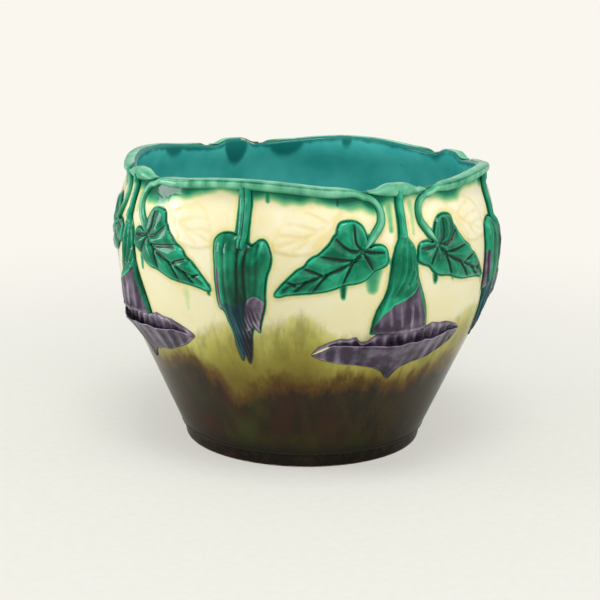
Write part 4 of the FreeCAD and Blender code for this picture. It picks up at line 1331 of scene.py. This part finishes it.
def makeFootGlaze():
    material, tree, coords, shader = newMaterial("footGlaze")
    height = heightField(tree, coords)
    patches = noise(tree, coords, 130, 4, 0.6)
    dark = mottle(tree, patches, 0.4, 0.7, (22, 15, 9), (46, 31, 17))
    worn = plus(tree, height, swing(tree, patches, 3.0))
    bare = remap(tree, worn, 1.3, 0.2)
    clay = mixColour(tree, noise(tree, coords, 700, 4), colour(196, 172, 138), colour(140, 112, 82))
    tone = mixColour(tree, bare, dark, clay)
    rough = plus(tree, times(tree, bare, 0.6), 0.18)
    finishShader(tree, shader, tone, rough, patches, 0.3, 0.0008)
    return material


footPiece = makeFoot()
footPiece.data.materials.append(makeFootGlaze())
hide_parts("foot_ring")
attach(footPiece, "root")
print("foot made")

stage = {
    "sky": colour(250, 247, 239), "skyLight": 0.52, "floorRadius": 6.0, "floorSides": 96,
    "floorShades": ((208, 210, 202), (216, 218, 210)),
}


def makeFloor():
    bpy.ops.object.select_all(action="DESELECT")
    sides, radius = stage["floorSides"], stage["floorRadius"]
    bpy.ops.mesh.primitive_circle_add(vertices=sides, radius=radius, fill_type="NGON", location=(0, 0, 0))
    floor = bpy.context.object
    floor.name = "floor"
    material = bpy.data.materials.new("paleFloor")
    tree = openTree(material)
    coords = addNode(tree, "TexCoord").outputs["Object"]
    grain = noise(tree, coords, 160, 5, 0.7)
    tone = mottle(tree, grain, 0.3, 0.7, *stage["floorShades"])
    dull = {"Base Color": tone, "Roughness": 0.75, "Specular IOR Level": 0.25}
    matt = addNode(tree, "BsdfPrincipled", dull)
    far = addNode(tree, "VectorMath", {0: coords}, operation="LENGTH").outputs["Value"]
    fade = remap(tree, far, 0.12, 0.8, 0.5, 1.0)
    seen = addNode(tree, "LightPath").outputs["Is Camera Ray"]
    glow = addNode(tree, "Emission", {"Color": stage["sky"], "Strength": 1.0})
    blend = addNode(tree, "MixShader", {0: times(tree, fade, seen), 1: matt.outputs[0], 2: glow.outputs[0]})
    addNode(tree, "OutputMaterial", {"Surface": blend.outputs[0]})
    floor.data.materials.append(material)


def makeWorld():
    world = bpy.data.worlds.new("studio")
    bpy.context.scene.world = world
    tree = openTree(world)
    light = addNode(tree, "Background", {"Color": (1, 1, 1, 1), "Strength": stage["skyLight"]})
    seen = addNode(tree, "Background", {"Color": stage["sky"], "Strength": 1.0})
    path = addNode(tree, "LightPath").outputs["Is Camera Ray"]
    mixed = addNode(tree, "MixShader", {0: path, 1: light.outputs[0], 2: seen.outputs[0]})
    addNode(tree, "OutputWorld", {"Surface": mixed.outputs[0]})


def addLamp(name, place, aim, size, watts):
    data = bpy.data.lights.new(name, "AREA")
    data.shape = "RECTANGLE"
    data.size, data.size_y = size
    data.energy = watts
    lamp = bpy.data.objects.new(name, data)
    bpy.context.collection.objects.link(lamp)
    lamp.location = place
    toward = np.array(aim) - np.array(place)
    tilt = math.acos(-toward[2] / np.linalg.norm(toward))
    lamp.rotation_euler = (tilt, 0, math.atan2(-toward[0], toward[1]))


makeFloor()
makeWorld()
viewTurn = math.radians(-cameraTurn)  # the photo looks at the pot from here, a little left of a blossom


def fromView(x, y, z):
    cos, sin = math.cos(viewTurn), math.sin(viewTurn)
    return (x * cos - y * sin, x * sin + y * cos, z)


lamps = [  # place as the camera sees it, height aimed at, size in metres, watts
    ("leftBox", (-1.3, 0.0, 0.34), 0.14, (0.45, 0.6), 7.0),
    ("topBox", (0.0, -0.5, 1.6), 0.1, (0.7, 0.6), 13.0),
    ("frontBox", (0.5, -1.5, 1.0), 0.1, (1.2, 0.8), 4.5),
    ("rightBox", (1.1, -0.3, 0.5), 0.12, (0.3, 0.9), 2.5),
]
for name, place, aimed, size, watts in lamps:
    addLamp(name, fromView(*place), (0, 0, aimed), size, watts)

camera = {  # metres, degrees, and millimetres for the lens and its film
    "away": 1.0309, "up": 0.3531, "aside": -0.00318, "down": 13.707, "roll": 0.909,
    "lens": 83.656, "film": 36,
}
cameraData = bpy.data.cameras.new("camera")
cameraData.lens = camera["lens"]
cameraData.sensor_width = camera["film"]
cameraObject = bpy.data.objects.new("camera", cameraData)
bpy.context.collection.objects.link(cameraObject)
turn = Matrix.Rotation(viewTurn, 4, "Z")
tilt = Matrix.Rotation(math.radians(90 - camera["down"]), 4, "X")
roll = Matrix.Rotation(math.radians(camera["roll"]), 4, "Z")
stand = Matrix.Translation((camera["aside"], -camera["away"], camera["up"]))
cameraObject.matrix_world = turn @ stand @ tilt @ roll
bpy.context.scene.camera = cameraObject
bpy.context.scene.view_settings.view_transform = "Standard"
print("stage made")
